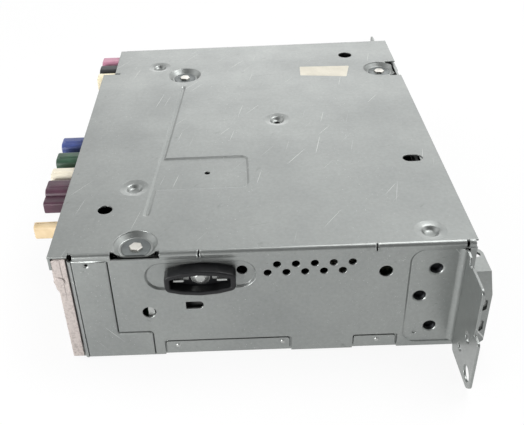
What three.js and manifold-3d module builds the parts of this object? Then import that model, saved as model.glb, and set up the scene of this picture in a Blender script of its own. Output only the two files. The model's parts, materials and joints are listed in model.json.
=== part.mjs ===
// Slot-loading car disc radio: sheet-metal case with mounting ears, die-cast rear wall, coded
// antenna sockets, and the disc drive inside. Millimetres, +Z up, disc slot at -Y, sockets at +Y.
// The origin is the centre of the case's underside.
import * as THREE from "three";
import { mergeVertices } from "three/addons/utils/BufferGeometryUtils.js";
import Module from "manifold-3d";

const wasm = await Module();
wasm.setup();

// Driving dimensions of the whole radio.
const caseWidth = 180;
const caseDepth = 150;
const caseHeight = 50;
const sheet = 1; // case sheet thickness
const thinSheet = 0.8; // sheet of the drive's levers
const seat = 0.3; // space between two pieces that rest on each other
const running = 0.15; // radial space round a shaft that turns in a bore
const over = 3; // how far a cutting tool runs past a face

// A height that keeps its share of the case's height.
function level(share) {
  return share * caseHeight;
}

// Top cover: lid and both sides bent from one sheet, with an ear at the front of each side.
const coverBend = 1.6;
const coverFoot = 0.4; // lower edge of the sides above the tray's underside
const coverFold = 2.2; // height of the lid's folded edge where no side hangs from it
const sideFrontInset = 3;
const sideRearInset = 8;
const rearLip = { depth: 6, gap: 1.5, socketGap: 3.4 };
const socketNotch = { width: 30, depth: 5.8, slit: 1, slitDepth: 2.6, corner: 3.6 };

// Pressings and holes of the lid, placed as shares of the case's width and depth.
const screwDimple = { mouth: 7.8, floor: 5.6, depth: 2, hole: 0 };
const smallDimple = { mouth: 5.6, floor: 2.6, depth: 1.1, hole: 0 };
const holedDimple = { mouth: 5.4, floor: 3, depth: 1.1, hole: 1.3 };
const lidDimpleShares = [
  { across: -0.467, along: 0.297, form: screwDimple },
  { across: 0.303, along: 0.22, form: screwDimple },
  { across: 0.297, along: -0.437, form: screwDimple },
  { across: -0.458, along: -0.399, form: smallDimple },
  { across: -0.267, along: 0.323, form: smallDimple },
  { across: 0.364, along: 0.31, form: smallDimple },
  { across: 0.021, along: -0.072, form: holedDimple },
];
const lidHoleShares = [
  { across: -0.346, along: 0.388, radius: 2.8 },
  { across: 0.399, along: -0.338, radius: 3.4 },
  { across: -0.212, along: 0.133, radius: 1.1 },
];
const lidSlot = { acrossShare: -0.186, alongShare: -0.426, length: 8, width: 5 };
const edgeNotch = { long: 17.2, short: 10.4, depth: 2, drop: 2.6 };
const frontNotch = { width: 16.5, depth: 5.3 };
const groove = { width: 1.1, depth: 0.4 };
const lidGrooveShares = [
  [0.225, 0.221],
  [-0.368, 0.281],
];
const panelGrooveShares = [
  [-0.279, 0.272],
  [-0.279, 0.022],
  [-0.147, 0.022],
  [-0.147, 0.26],
];

// Side sheets: mounting pad, vents and holes, at distances from the case's front and heights.
const pad = { length: 19.5, low: 2.9, highShare: 0.932, corner: 5, depth: 0.7 };
const padHoleRadius = 2.2;
const padCollar = { radius: 3, depth: 1.2 };
const padHoles = [
  { fromFront: 13.2, heightShare: 0.758 },
  { fromFront: 18, heightShare: 0.506 },
  { fromFront: 12.8, heightShare: 0.204 },
];
const vent = { radius: 1.4, pitch: 6.65, fromFront: 46.6, rowCount: 5 };
const ventRowShares = [0.784, 0.857];
const sideHoles = [
  { fromFront: 31.2, heightShare: 0.76, radius: 2.4 },
  { fromFront: 116.9, heightShare: 0.446, radius: 2.5 },
];
const keyHole = { fromFront: 100, heightShare: 0.502, length: 6.4, width: 3.3 };
const tabWindows = [
  { fromFront: 65, length: 47.4, high: 7.2 },
  { fromFront: 25, length: 16.3, high: 6.7 },
];
const stepLine = { fromRear: 20.5, low: 12.6, run: 12.9, drop: 9 };

// Rubber buffer on the left side: a barrel-shaped ring in a long pressing, over a window.
const bufferPad = { fromFront: 97.1, heightShare: 0.78, length: 39.4, width: 11.9, depth: 1 };
const bufferHole = { fromFront: 82.3, heightShare: 0.806, radius: 1.9 };
const bufferRing = { length: 25.2, end: 6.8, bulge: 2.2, wall: 1.9, proud: 5 };
const bufferWindow = { length: 13, height: 4.6 };
const bufferClip = { play: 0.9, height: 4.4, tab: 4.2, reach: 3, dome: 3.2, domeRise: 1.6 };

// Mounting ears, bent outwards from the front of the sides.
const ear = { reach: 24.3, upperReach: 20, stepShare: 0.5, highShare: 0.892, corner: 2 };
const earHoles = [
  { out: 19.2, heightShare: 0.116, radius: 3.1 },
  { out: 9.1, heightShare: 0.176, radius: 1.7 },
  { out: 14.4, heightShare: 0.376, radius: 2.2 },
];

// Bottom tray.
const tray = { flangeShare: 0.22, frontLip: 7, bossInset: 0.5, bossLow: 1.6, postRadius: 2.6 };
const trayPostShares = [
  [-0.42, -0.36],
  [0.42, -0.36],
  [-0.42, 0.32],
  [0.42, 0.32],
  [-0.14, 0.33],
  [0.14, -0.36],
];
const trayVent = { count: 9, pitch: 6, width: 2.4, length: 26, acrossShare: 0.18, alongShare: 0.12 };

// Front bracket: front wall with the disc slot, forward cheeks and lugs.
const bracket = { low: 0.7, highShare: 0.968 };
const cheek = { reach: 8.2, highShare: 0.73, bottomCut: 1.6, topCut: 2, shoulderShare: 0.508 };
const cheekSlot = { width: 2.4, length: 5.6, fromEdge: 2.3, heightShares: [0.406, 0.2] };
const lug = { length: 13, width: 5.6, corner: 2.4, hole: 1.5, holeFromEnd: 3.4 };
const slot = { width: 128, height: 7, corner: 2 };
const bracketHoleRadius = 1.8;
const bracketHoleShares = [
  [-0.45, 0.56],
  [0.45, 0.56],
  [-0.45, 0.18],
  [0.45, 0.18],
];
const bracketBead = { length: 96, width: 12, depth: 1, heightShare: 0.32, corner: 3 };

// Rear wall: die casting with cooling fins, a rounded boss and windows for the sockets.
const cast = { wall: 3.5, inset: 0.5, low: 0.6, topGap: 0.6 };
const fin = { count: 13, pitch: 6.5, thick: 2, reach: 6.3, low: 3, highShare: 0.54, firstShare: -0.385 };
const castBoss = { heightShare: 0.76, radius: 5, reach: 3.4, width: 9 };
const castPad = { width: 32, depth: 4.4, lowShare: 0.22, highShare: 0.592, acrossShare: -0.14 };
const windowMargin = 0.6;

// Antenna sockets: a left row and a right row, one coded housing each. A housing's place is a
// share of the case's width, and its key angles tell the sockets apart.
const jack = { height: 8.4, corner: 2, bore: 3.1, depth: 8 };
const coax = { radius: 1.9, bore: 1.1, short: 2.6 };
const jackKey = { width: 0.9, rise: 0.7 };
const leftRow = { belowLid: 12.2, end: 88 };
const rightRow = { belowLid: 5.7, end: 78.6 };
const leftJacks = [
  { name: "jack_blue", acrossShare: 0.033, width: 8.8, colour: 0x3c4a86, keyShares: [0.1, 0.4] },
  { name: "jack_green", acrossShare: -0.043, width: 9.2, colour: 0x2d5a40, keyShares: [0.2, 0.65] },
  { name: "jack_cream", acrossShare: -0.1136, width: 8.4, colour: 0xe3dccb, keyShares: [0, 0.5] },
];
const doubleJack = { name: "jack_bordeaux", acrossShare: -0.173, width: 10.4, colour: 0x5c3346 };
const doubleKeyShares = [0.35, 0.85];
const doubleSide = { width: 5.2, height: 5.4, gap: 0.4 };
const slimJack = { name: "jack_beige", acrossShare: -0.318, width: 4.4, height: 6.2, colour: 0xe2cda0 };
const slimBore = 1.3;
const rightJacks = [
  { name: "jack_pink", acrossShare: 0.452, width: 9.2, colour: 0xc46f8d, keyShares: [0.3, 0.7] },
  { name: "jack_black", acrossShare: 0.3955, width: 8.8, colour: 0x28242a, keyShares: [0.15, 0.5] },
  { name: "jack_ivory", acrossShare: 0.342, width: 8.4, colour: 0xe6dcc0, keyShares: [0.25, 0.8] },
];
const header = { height: 7.2, rightDepth: 2.4 };

// Main plug socket: a shrouded multi-way header.
const plug = { centreShare: 0.22, width: 46, heightShare: 0.35, wall: 1.6, corner: 1.5 };
const plugEnds = { inside: 14, reach: 11 };
const plugPin = { side: 1, rowCount: 2, columnCount: 8, pitchX: 5, pitchZ: 6, reach: 6 };
const plugDepth = 9;

// Circuit boards and the larger parts on them.
const board = { thick: 1.6, lowShare: 0.16, sideGap: 1.2, frontGap: 5, rearGap: 8 };
const upright = { lowShare: 0.63, highShare: 0.946, legWidth: 9, fromRear: 10.6 };
const uprightEndShares = [-0.345, 0.487];
const uprightLegShare = 0.4;
const capacitor = { radius: 5, heightShare: 0.36, fromSide: 8.2, fromRear: 26, pitch: 13, rim: 0.8 };
const processorCan = { width: 48, depth: 40, height: 2.8, corner: 2 };
const tunerCan = { width: 14, depth: 44, heightShare: 0.3, fromSide: 10.5, fromRear: 60, corner: 1 };
const ampChip = { width: 29, thick: 4.6, heightShare: 0.34, lift: 3 };
const ampLead = { count: 5, width: 1.2, pitch: 5 };

// Disc drive: frame hung under the lid, and the levels of its parts.
const discAxisShare = -0.053;
const frame = { width: 135, frontInset: 8, rearInset: 18, lowShare: 0.34, rearHighShare: 0.76 };
const frameRim = { side: 22, rear: 20, front: 38 };
const frameFront = { sillShare: 0.66, lintelShare: 0.872, post: 2.5 };
const pathShares = [0.712, 0.82];
const frameLug = { width: 13, outward: 19.5, inward: 18.5, forward: 4, hole: 1.3 };
const pathLow = level(pathShares[0]); // no piece of the drive at rest lies between these heights
const pathHigh = level(pathShares[1]);

// Floating deck with turntable and clamp; distances of its edges are from the case's centre.
const deck = { levelShare: 0.54, thick: 1.2, width: 124, front: 36, rear: 54, corner: 4 };
const deckNotch = { width: 20, depth: 24 };
const damper = { radius: 4.5, waist: 3.1, fromSide: 5, fromEnd: 6 };
const spindleMotor = { radius: 12, height: 7, edge: 1, shaft: 1, hole: 3 };
const platter = { radius: 15, thick: 1.2, levelShare: 0.676, stem: 2.4 };
const hub = { radius: 7.3, tip: 5.2, rise: 1.7 };
const clamp = { hingeY: 51, levelShare: 0.882, halfWidth: 24.6, barrel: 1.6, pin: 1, eye: 9, window: 5 };
const clampEar = { thick: 1.2, width: 5, above: 1.8 };
const puck = { radius: 12, thick: 2.1, neck: 3.2, cap: 6, capThick: 0.8, pocket: 8.2, pocketDepth: 1.3 };
const puckPlay = 0.5;

// Pickup sled on two rods, driven by a lead screw, on a line turned from the drive's X axis.
const sledTurn = Math.PI / 4;
const sledTravel = 31;
const sled = { inner: 16.5, length: 18, halfWidth: 17, corner: 2 };
const sledLevelShares = { low: 0.44, middle: 0.532, high: 0.608 };
const optics = { halfWidth: 9, gap: 0.9 };
const lens = { offset: 8, well: 3.1, holder: 2.6, rise: 1.4, depth: 2.4, play: 0.4 };
const lensGlass = { radius: 1.6, dome: 0.5 };
const rod = { radius: 1.5, side: 14, heightShare: 0.486, inner: 11.4, outer: 68 };
const rodClip = { length: 2.5, width: 4.4, drop: 4.6 };
const leadScrew = { radius: 1.5, side: 21, heightShare: 0.424, motorEnd: 4, length: 56 };
const sledMotor = { radius: 5.4, length: 18, boss: 2.4, bossRise: 1 };
const nut = { length: 6, wall: 1.4 };

// Feed roller on its swinging arm, and the gear train that drives it.
const armPivot = { fromFront: 27, heightShare: 0.62 };
const arm = { side: 62, eye: 3.2, rollerEye: 2.8, barDepth: 6, barDrop: 5.6 };
const pivotPin = { radius: 1.5, length: 5 };
const roller = { shaft: 1.5, end: 3.3, middle: 2.8, half: 57, gap: 1.5, lift: 3 };
const gearModule = 0.6;
const gearWidth = 2;
const clutchToothCount = 30;
const smallToothCount = 12;
const largeToothCount = 28;
const pinionToothCount = 10;
const driveToothCount = 27;
const rollerToothCount = 18;
const toothShares = { tip: 0.115, root: 0.3, addendum: 0.85, dedendum: 1.2 };
const clutchHub = 3.4;
const reductionAngle = -0.222; // from the clutch's axis to the reduction gear's, about X
const pinionAngle = -0.266; // from the reduction gear's axis to the motor's
const loadingMotor = { radius: 6.4, length: 18, shaft: 1, boss: 2.2 };
const gearPost = 1.2;

// Slider that works the clamp, outside the frame's right wall.
const slider = { length: 84, height: 15, lowShare: 0.48, travel: 8, front: 42, corner: 2 };
const sliderSlot = { width: 3.4, inset: 14 };
const camSlot = { width: 3, rise: 5, inset: 36 };
const guidePin = { radius: 1.4, head: 2.6, headThick: 0.8 };

// Plastic disc guides above and below the path.
const guide = { width: 124, thick: 1.4, flare: 1.6, depth: 15, foot: 11 };
const guideRib = { count: 5, width: 1.4, highShare: 0.904 };

// Places worked out from the sizes above.
const halfWidth = caseWidth / 2;
const halfDepth = caseDepth / 2;
const frontY = -halfDepth;
const innerTop = caseHeight - sheet;
const foldBottom = caseHeight - coverFold;
const sideFront = frontY + sideFrontInset;
const sideRear = halfDepth - sideRearInset;
const bracketFace = frontY + seat;
const bracketBack = bracketFace + sheet;
const trayHalf = halfWidth - sheet - seat;
const trayFront = bracketBack + seat;
const castRear = halfDepth - sheet - seat;
const castFront = castRear - cast.wall;
const boardLow = level(board.lowShare);
const boardTop = boardLow + board.thick;
const boardHalf = trayHalf - sheet - board.sideGap;
const boardRear = halfDepth - board.rearGap;
const uprightFront = halfDepth - upright.fromRear;
const uprightBack = uprightFront + board.thick;
const discY = discAxisShare * caseDepth;
const pathMiddle = (pathLow + pathHigh) / 2;
const frameLow = level(frame.lowShare);
const frameHigh = innerTop - screwDimple.depth - seat;
const frameHalf = frame.width / 2;
const frameInner = frameHalf - sheet;
const frameFrontY = frontY + frame.frontInset;
const frameRearY = halfDepth - frame.rearInset;
const deckLevel = level(deck.levelShare);
const deckTop = deckLevel + deck.thick;
const platterLevel = level(platter.levelShare);
const clampLevel = level(clamp.levelShare);
const sledLow = level(sledLevelShares.low);
const sledMiddle = level(sledLevelShares.middle);
const sledHigh = level(sledLevelShares.high);
const rodLevel = level(rod.heightShare);
const screwLevel = level(leadScrew.heightShare);
const sliderLow = level(slider.lowShare);
const bufferLevel = level(bufferPad.heightShare);
const cheekHigh = level(cheek.highShare);
const finHigh = level(fin.highShare);
const uprightLow = level(upright.lowShare);
const rimTop = frameLow + sheet;
const pivotY = frontY + armPivot.fromFront;
const pivotZ = level(armPivot.heightShare);
const rollerSpan = (gearModule * (driveToothCount + rollerToothCount)) / 2;
const rollerRestZ = pathLow - seat - roller.end;
const rollerAngle = Math.PI - Math.asin((rollerRestZ - pivotZ) / rollerSpan);
const rollerY = pivotY + rollerSpan * Math.cos(rollerAngle);
const reductionSpan = (gearModule * (clutchToothCount + smallToothCount)) / 2;
const reductionY = pivotY + reductionSpan * Math.cos(reductionAngle);
const reductionZ = pivotZ + reductionSpan * Math.sin(reductionAngle);
const motorSpan = (gearModule * (largeToothCount + pinionToothCount)) / 2;
const motorY = reductionY + motorSpan * Math.cos(pinionAngle);
const motorZ = reductionZ + motorSpan * Math.sin(pinionAngle);
const gearPlane = -frameHalf - gearWidth - 3 * seat;
const outerPlane = gearPlane - gearWidth - 2 * seat;
const innerPlane = -frameInner + 2 * seat;

// Materials.
function finish(colour, roughness, metalness) {
  return () => new THREE.MeshStandardMaterial({ color: colour, roughness, metalness });
}
const zincSteel = finish(0xb4b7b4, 0.42, 0.9);
const brightSteel = finish(0xc9cbcc, 0.25, 1);
const castAluminium = finish(0xaaa5a2, 0.6, 0.8);
const tinPlate = finish(0xbfc1bf, 0.35, 0.9);
const greenBoard = finish(0x2f5a3b, 0.6, 0);
const blackPlastic = finish(0x1d1e20, 0.55, 0);
const blackRubber = finish(0x17181a, 0.8, 0);
const whitePlastic = finish(0xe4e2da, 0.5, 0);
const brassMetal = finish(0xb99a56, 0.35, 0.9);
const jackPlastic = (colour) => finish(colour, 0.45, 0);

// Closed solids.
function toSolid(geometry) {
  geometry.deleteAttribute("normal");
  geometry.deleteAttribute("uv");
  const merged = mergeVertices(geometry);
  return new wasm.Manifold(
    new wasm.Mesh({
      numProp: 3,
      vertProperties: new Float32Array(merged.attributes.position.array),
      triVerts: new Uint32Array(merged.index.array),
    }),
  );
}

function toGeometry(solid) {
  const mesh = solid.getMesh();
  const geometry = new THREE.BufferGeometry();
  geometry.setAttribute("position", new THREE.BufferAttribute(mesh.vertProperties, 3));
  geometry.setIndex(new THREE.BufferAttribute(mesh.triVerts, 1));
  const flat = geometry.toNonIndexed();
  flat.computeVertexNormals();
  return flat;
}

function join(first, ...rest) {
  return rest.reduce((sum, solid) => sum.add(solid), first);
}

function cut(first, ...tools) {
  return tools.reduce((left, tool) => left.subtract(tool), first);
}

function moved(solid, x, y, z) {
  return solid.translate([x, y, z]);
}

function block(x0, x1, y0, y1, z0, z1) {
  const geometry = new THREE.BoxGeometry(x1 - x0, y1 - y0, z1 - z0);
  geometry.translate((x0 + x1) / 2, (y0 + y1) / 2, (z0 + z1) / 2);
  return toSolid(geometry);
}

// Turns what is built along Z to lie along another axis. A flat outline's two coordinates become
// y and z for axis "x", and x and z for axis "y".
const alongAxis = {
  x: new THREE.Matrix4().set(0, 0, 1, 0, 1, 0, 0, 0, 0, 1, 0, 0, 0, 0, 0, 1),
  y: new THREE.Matrix4().set(1, 0, 0, 0, 0, 0, -1, 0, 0, 1, 0, 0, 0, 0, 0, 1),
  z: new THREE.Matrix4(),
};

function slab(shape, axis, low, high) {
  const geometry = new THREE.ExtrudeGeometry(shape, { depth: high - low, bevelEnabled: false });
  geometry.applyMatrix4(alongAxis[axis]);
  if (axis === "x") geometry.translate(low, 0, 0);
  if (axis === "y") geometry.translate(0, high, 0);
  if (axis === "z") geometry.translate(0, 0, low);
  return toSolid(geometry);
}

function arc(cx, cy, radius, from, to, steps) {
  const points = [];
  for (let i = 0; i <= steps; i += 1) {
    const angle = from + ((to - from) * i) / steps;
    points.push(new THREE.Vector2(cx + radius * Math.cos(angle), cy + radius * Math.sin(angle)));
  }
  return points;
}

function outline(points) {
  return new THREE.Shape(points.map((p) => (p.isVector2 ? p : new THREE.Vector2(...p))));
}

function circle(cx, cy, radius, steps = 10) {
  return outline(arc(cx, cy, radius, 0, 2 * Math.PI, steps).slice(0, steps));
}

// A rectangle about a centre; each corner can have its own radius, from the low left one round.
function rounded(cx, cy, width, height, radii, steps = 2) {
  const list = Array.isArray(radii) ? radii : [radii, radii, radii, radii];
  const corners = [
    [-1, -1, Math.PI],
    [1, -1, -Math.PI / 2],
    [1, 1, 0],
    [-1, 1, Math.PI / 2],
  ];
  const points = corners.flatMap(([sx, sy, from], i) => {
    const r = list[i];
    const x = cx + sx * (width / 2 - r);
    const y = cy + sy * (height / 2 - r);
    return r > 0 ? arc(x, y, r, from, from + Math.PI / 2, steps) : [new THREE.Vector2(x, y)];
  });
  return outline(points);
}

// A lens-like outline with straight ends and two bulging long sides.
function barrel(cx, cy, length, end, bulge, steps = 6) {
  const half = length / 2;
  const radius = (half * half + bulge * bulge) / (2 * bulge);
  const spread = Math.asin(half / radius);
  const top = cy + end / 2 + bulge - radius;
  const bottom = cy - end / 2 - bulge + radius;
  const quarter = Math.PI / 2;
  return outline([
    ...arc(cx, bottom, radius, -quarter - spread, -quarter + spread, steps),
    ...arc(cx, top, radius, quarter - spread, quarter + spread, steps),
  ]);
}

function drum(axis, a, b, radius, low, high, steps = 10) {
  return slab(circle(a, b, radius, steps), axis, low, high);
}

// A revolved solid from pairs of radius and height that close on the axis or on themselves.
function turned(profile, steps = 16, axis = "z") {
  const points = profile.map(([r, z]) => new THREE.Vector2(r, z));
  const geometry = new THREE.LatheGeometry(points, steps);
  geometry.rotateX(Math.PI / 2);
  geometry.applyMatrix4(alongAxis[axis]);
  return toSolid(geometry);
}

// A line of straight strips with round joints.
function track(axis, points, width, low, high) {
  const parts = points.map(([a, b]) => drum(axis, a, b, width / 2, low, high, 6));
  points.slice(1).forEach(([a, b], i) => {
    const [pa, pb] = points[i];
    const side = new THREE.Vector2(pb - b, a - pa).normalize().multiplyScalar(width / 2);
    const corners = [
      [pa + side.x, pb + side.y],
      [pa - side.x, pb - side.y],
      [a - side.x, b - side.y],
      [a + side.x, b + side.y],
    ];
    parts.push(slab(outline(corners), axis, low, high));
  });
  return join(...parts);
}

// On one side of the case, between two distances from its middle plane.
function sideSlab(shape, side, from, to) {
  return slab(shape, "x", Math.min(side * from, side * to), Math.max(side * from, side * to));
}

function sideBlock(side, from, to, y0, y1, z0, z1) {
  return block(Math.min(side * from, side * to), Math.max(side * from, side * to), y0, y1, z0, z1);
}

// Scene graph: the case's frame, the drive's frame at the disc's axis, and the sled's line.
const radio = new THREE.Group();
const drive = new THREE.Group();
const sledLine = new THREE.Group();
drive.position.y = discY;
sledLine.rotation.z = sledTurn;
drive.add(sledLine);
radio.add(drive);

function place(name, solid, material, group = radio, x = 0, y = 0, z = 0) {
  const mesh = new THREE.Mesh(toGeometry(solid), material());
  mesh.name = name;
  mesh.position.set(x, y, z);
  group.add(mesh);
}

// Top cover.
function coverProfile() {
  const inner = coverBend - sheet;
  const x = halfWidth - coverBend;
  const z = caseHeight - coverBend;
  return outline([
    [halfWidth, coverFoot],
    ...arc(x, z, coverBend, 0, Math.PI / 2, 3),
    ...arc(-x, z, coverBend, Math.PI / 2, Math.PI, 3),
    [-halfWidth, coverFoot],
    [-halfWidth + sheet, coverFoot],
    ...arc(-x, z, inner, Math.PI, Math.PI / 2, 1),
    ...arc(x, z, inner, Math.PI / 2, 0, 1),
    [halfWidth - sheet, coverFoot],
  ]);
}

function dimplePressing(form) {
  const outer = form.mouth + sheet;
  return turned([
    [0, -form.depth - sheet],
    [form.floor + sheet / 2, -form.depth - sheet],
    [outer, -sheet],
    [outer, -sheet / 2],
    [0, -sheet / 2],
  ], 12);
}

function dimpleHollow(form) {
  return turned([
    [0, -form.depth],
    [form.floor, -form.depth],
    [form.mouth, 0],
    [form.mouth, over],
    [0, over],
  ], 12);
}

function lidPressings() {
  const limits = block(
    -halfWidth + sheet / 2,
    halfWidth - sheet / 2,
    frontY,
    halfDepth - socketNotch.depth,
    0,
    caseHeight - sheet / 2,
  );
  return lidDimpleShares.map(({ across, along, form }) =>
    moved(dimplePressing(form), across * caseWidth, along * caseDepth, caseHeight).intersect(limits),
  );
}

function lidCuts() {
  const top = caseHeight + over;
  const under = innerTop - over;
  const cuts = [];
  lidDimpleShares.forEach(({ across, along, form }) => {
    cuts.push(moved(dimpleHollow(form), across * caseWidth, along * caseDepth, caseHeight));
    if (form.hole > 0) cuts.push(drum("z", across * caseWidth, along * caseDepth, form.hole, under, top));
  });
  lidHoleShares.forEach(({ across, along, radius }) => {
    cuts.push(drum("z", across * caseWidth, along * caseDepth, radius, under, top));
  });
  const slotX = lidSlot.acrossShare * caseWidth;
  const slotY = lidSlot.alongShare * caseDepth;
  const slotHalf = (lidSlot.length - lidSlot.width) / 2;
  cuts.push(
    track("z", [[slotX, slotY - slotHalf], [slotX, slotY + slotHalf]], lidSlot.width, under, top),
  );
  [lidGrooveShares, panelGrooveShares].forEach((shares) => {
    const points = shares.map(([across, along]) => [across * caseWidth, along * caseDepth]);
    cuts.push(track("z", points, groove.width, caseHeight - groove.depth, top));
  });
  const [edgeDimple, , frontDimple] = lidDimpleShares;
  const edgeY = edgeDimple.along * caseDepth;
  const trapezoid = outline([
    [edgeY - edgeNotch.long / 2, caseHeight],
    [edgeY - edgeNotch.short / 2, caseHeight - edgeNotch.drop],
    [edgeY + edgeNotch.short / 2, caseHeight - edgeNotch.drop],
    [edgeY + edgeNotch.long / 2, caseHeight],
    [edgeY + edgeNotch.long / 2, top],
    [edgeY - edgeNotch.long / 2, top],
  ]);
  cuts.push(sideSlab(trapezoid, -1, halfWidth - edgeNotch.depth, halfWidth + over));
  const frontX = frontDimple.across * caseWidth;
  const notchHalf = frontNotch.width / 2;
  cuts.push(
    block(frontX - notchHalf, frontX + notchHalf, frontY - over, frontY + frontNotch.depth, under, top),
  );
  const notchLeft = halfWidth - socketNotch.width;
  const notchY = halfDepth - socketNotch.depth;
  const slitY = notchY - socketNotch.slitDepth;
  cuts.push(block(notchLeft, halfWidth + over, notchY, halfDepth + over, under, top));
  cuts.push(block(notchLeft - socketNotch.slit, notchLeft, slitY, halfDepth + over, under - over, top));
  const corner = outline([
    [halfWidth - socketNotch.corner / 2, notchY + over],
    [halfWidth - socketNotch.corner / 2, notchY],
    [halfWidth, notchY - socketNotch.corner],
    [halfWidth + over, notchY - socketNotch.corner],
    [halfWidth + over, notchY + over],
  ]);
  cuts.push(slab(corner, "z", under, top));
  return cuts;
}

function earOutline(side) {
  const foot = side * (halfWidth - sheet);
  const root = foot - side * pad.depth;
  const far = side * (halfWidth + ear.reach);
  const upper = side * (halfWidth + ear.upperReach);
  const c = ear.corner;
  return outline([
    [foot, coverFoot],
    [far - side * c, coverFoot],
    [far, coverFoot + c],
    [far, level(ear.stepShare) - c / 2],
    [far - (side * c) / 2, level(ear.stepShare)],
    [upper, level(ear.stepShare)],
    [upper, level(ear.highShare) - c],
    [upper - side * c, level(ear.highShare)],
    [root, level(ear.highShare) + c / 2],
    [root, pad.low],
    [foot, pad.low],
  ]);
}

function padOutline(grow) {
  const end = sideFront + pad.length + grow;
  const low = pad.low - grow;
  const high = level(pad.highShare) + grow;
  const r = pad.corner + grow;
  return rounded((sideFront + end) / 2, (low + high) / 2, end - sideFront, high - low, [0, r, r, 0]);
}

function bufferPadOutline(grow) {
  const y = frontY + bufferPad.fromFront;
  const width = bufferPad.width + 2 * grow;
  return rounded(y, bufferLevel, bufferPad.length + 2 * grow, width, width / 2, 4);
}

function sideForms(side) {
  const within = halfWidth - sheet;
  const collars = padHoles.map((hole) =>
    sideSlab(
      circle(frontY + hole.fromFront, level(hole.heightShare), padCollar.radius, 10),
      side,
      within - pad.depth - padCollar.depth,
      within - pad.depth + sheet / 2,
    ),
  );
  const forms = [
    sideSlab(padOutline(sheet), side, within - pad.depth, within + sheet / 2),
    slab(earOutline(side), "y", sideFront, sideFront + sheet),
    ...collars,
  ];
  if (side < 0) {
    forms.push(sideSlab(bufferPadOutline(sheet), side, within - bufferPad.depth, within + sheet / 2));
  }
  return forms;
}

function sideCuts(side) {
  const inside = halfWidth - sheet - over;
  const outside = halfWidth + over;
  const through = (shape) => sideSlab(shape, side, inside, outside);
  const hole = ({ fromFront, heightShare }, radius, steps) =>
    through(circle(frontY + fromFront, level(heightShare), radius, steps));
  const cuts = [sideSlab(padOutline(0), side, halfWidth - pad.depth, outside)];
  padHoles.forEach((spot) => cuts.push(hole(spot, padHoleRadius, 10)));
  sideHoles.forEach((spot) => cuts.push(hole(spot, spot.radius)));
  ventRowShares.forEach((heightShare, row) => {
    for (let i = 0; i < vent.rowCount; i += 1) {
      const fromFront = vent.fromFront + (i - row / 2) * vent.pitch;
      cuts.push(hole({ fromFront, heightShare }, vent.radius, 8));
    }
  });
  const r = keyHole.width / 2 - seat;
  const keyY = frontY + keyHole.fromFront;
  const keyZ = level(keyHole.heightShare);
  cuts.push(through(rounded(keyY, keyZ, keyHole.length, keyHole.width, [r, 0, 0, r])));
  tabWindows.forEach((window) => {
    const middle = frontY + window.fromFront + window.length / 2;
    const height = window.high + over;
    const z = window.high - height / 2;
    cuts.push(through(rounded(middle, z, window.length, height, [0, 0, sheet, sheet], 2)));
  });
  const rear = halfDepth - stepLine.fromRear;
  const line = [
    [rear, foldBottom],
    [rear, stepLine.low],
    [rear - stepLine.run, stepLine.low],
    [rear - stepLine.run, stepLine.low - stepLine.drop],
  ];
  const from = side * (halfWidth - groove.depth);
  const to = side * outside;
  cuts.push(track("x", line, groove.width, Math.min(from, to), Math.max(from, to)));
  earHoles.forEach(({ out, heightShare, radius }) => {
    const x = side * (halfWidth + out);
    cuts.push(drum("y", x, level(heightShare), radius, sideFront - over, sideFront + sheet + over));
  });
  if (side < 0) {
    const y = frontY + bufferPad.fromFront;
    cuts.push(sideSlab(bufferPadOutline(0), side, halfWidth - bufferPad.depth, outside));
    cuts.push(hole(bufferHole, bufferHole.radius));
    const { length, height } = bufferWindow;
    cuts.push(through(rounded(y, bufferLevel, length, height, sheet)));
  }
  return cuts;
}

function topCover() {
  const across = halfWidth + over;
  const front = block(-across, across, frontY - over, sideFront, -over, foldBottom);
  const rear = block(-across, across, sideRear, halfDepth + over, -over, foldBottom);
  const channel = cut(slab(coverProfile(), "y", frontY, halfDepth), front, rear);
  const lip = block(
    -halfWidth + rearLip.gap,
    halfWidth - socketNotch.width - rearLip.socketGap,
    halfDepth - sheet,
    halfDepth,
    caseHeight - rearLip.depth,
    caseHeight - sheet / 2,
  );
  const formed = join(channel, lip, ...lidPressings(), ...sideForms(-1), ...sideForms(1));
  return cut(formed, ...lidCuts(), ...sideCuts(-1), ...sideCuts(1));
}

place("top_cover", topCover(), zincSteel);

// Bottom tray, with bosses that stand in the windows at the foot of the cover's sides.
function bottomTray() {
  const rear = castFront - seat;
  const flangeFront = sideFront + pad.length + sheet + 2 * seat;
  const parts = [block(-trayHalf, trayHalf, trayFront, rear, 0, sheet)];
  parts.push(block(-trayHalf, trayHalf, trayFront, trayFront + sheet, 0, tray.frontLip));
  [-1, 1].forEach((side) => {
    parts.push(sideBlock(side, trayHalf - sheet, trayHalf, flangeFront, rear, 0, level(tray.flangeShare)));
    tabWindows.forEach((window) => {
      const length = window.length - 2 * seat;
      const height = window.high - seat - tray.bossLow;
      const middle = frontY + window.fromFront + window.length / 2;
      const shape = rounded(middle, tray.bossLow + height / 2, length, height, [0, 0, sheet, sheet], 2);
      parts.push(sideSlab(shape, side, trayHalf - sheet / 2, halfWidth - tray.bossInset));
    });
  });
  trayPostShares.forEach(([across, along]) => {
    const at = [across * caseWidth, along * caseDepth];
    parts.push(drum("z", ...at, tray.postRadius, sheet / 2, boardLow - seat, 8));
  });
  const vents = [];
  for (let i = 0; i < trayVent.count; i += 1) {
    const x = trayVent.acrossShare * caseWidth + (i - (trayVent.count - 1) / 2) * trayVent.pitch;
    const y = trayVent.alongShare * caseDepth;
    const half = (trayVent.length - trayVent.width) / 2;
    const shape = rounded(x, y, trayVent.width, 2 * half, 0);
    vents.push(slab(shape, "z", -over, sheet + over));
  }
  return cut(join(...parts), ...vents);
}

place("bottom_tray", bottomTray(), zincSteel);

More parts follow.
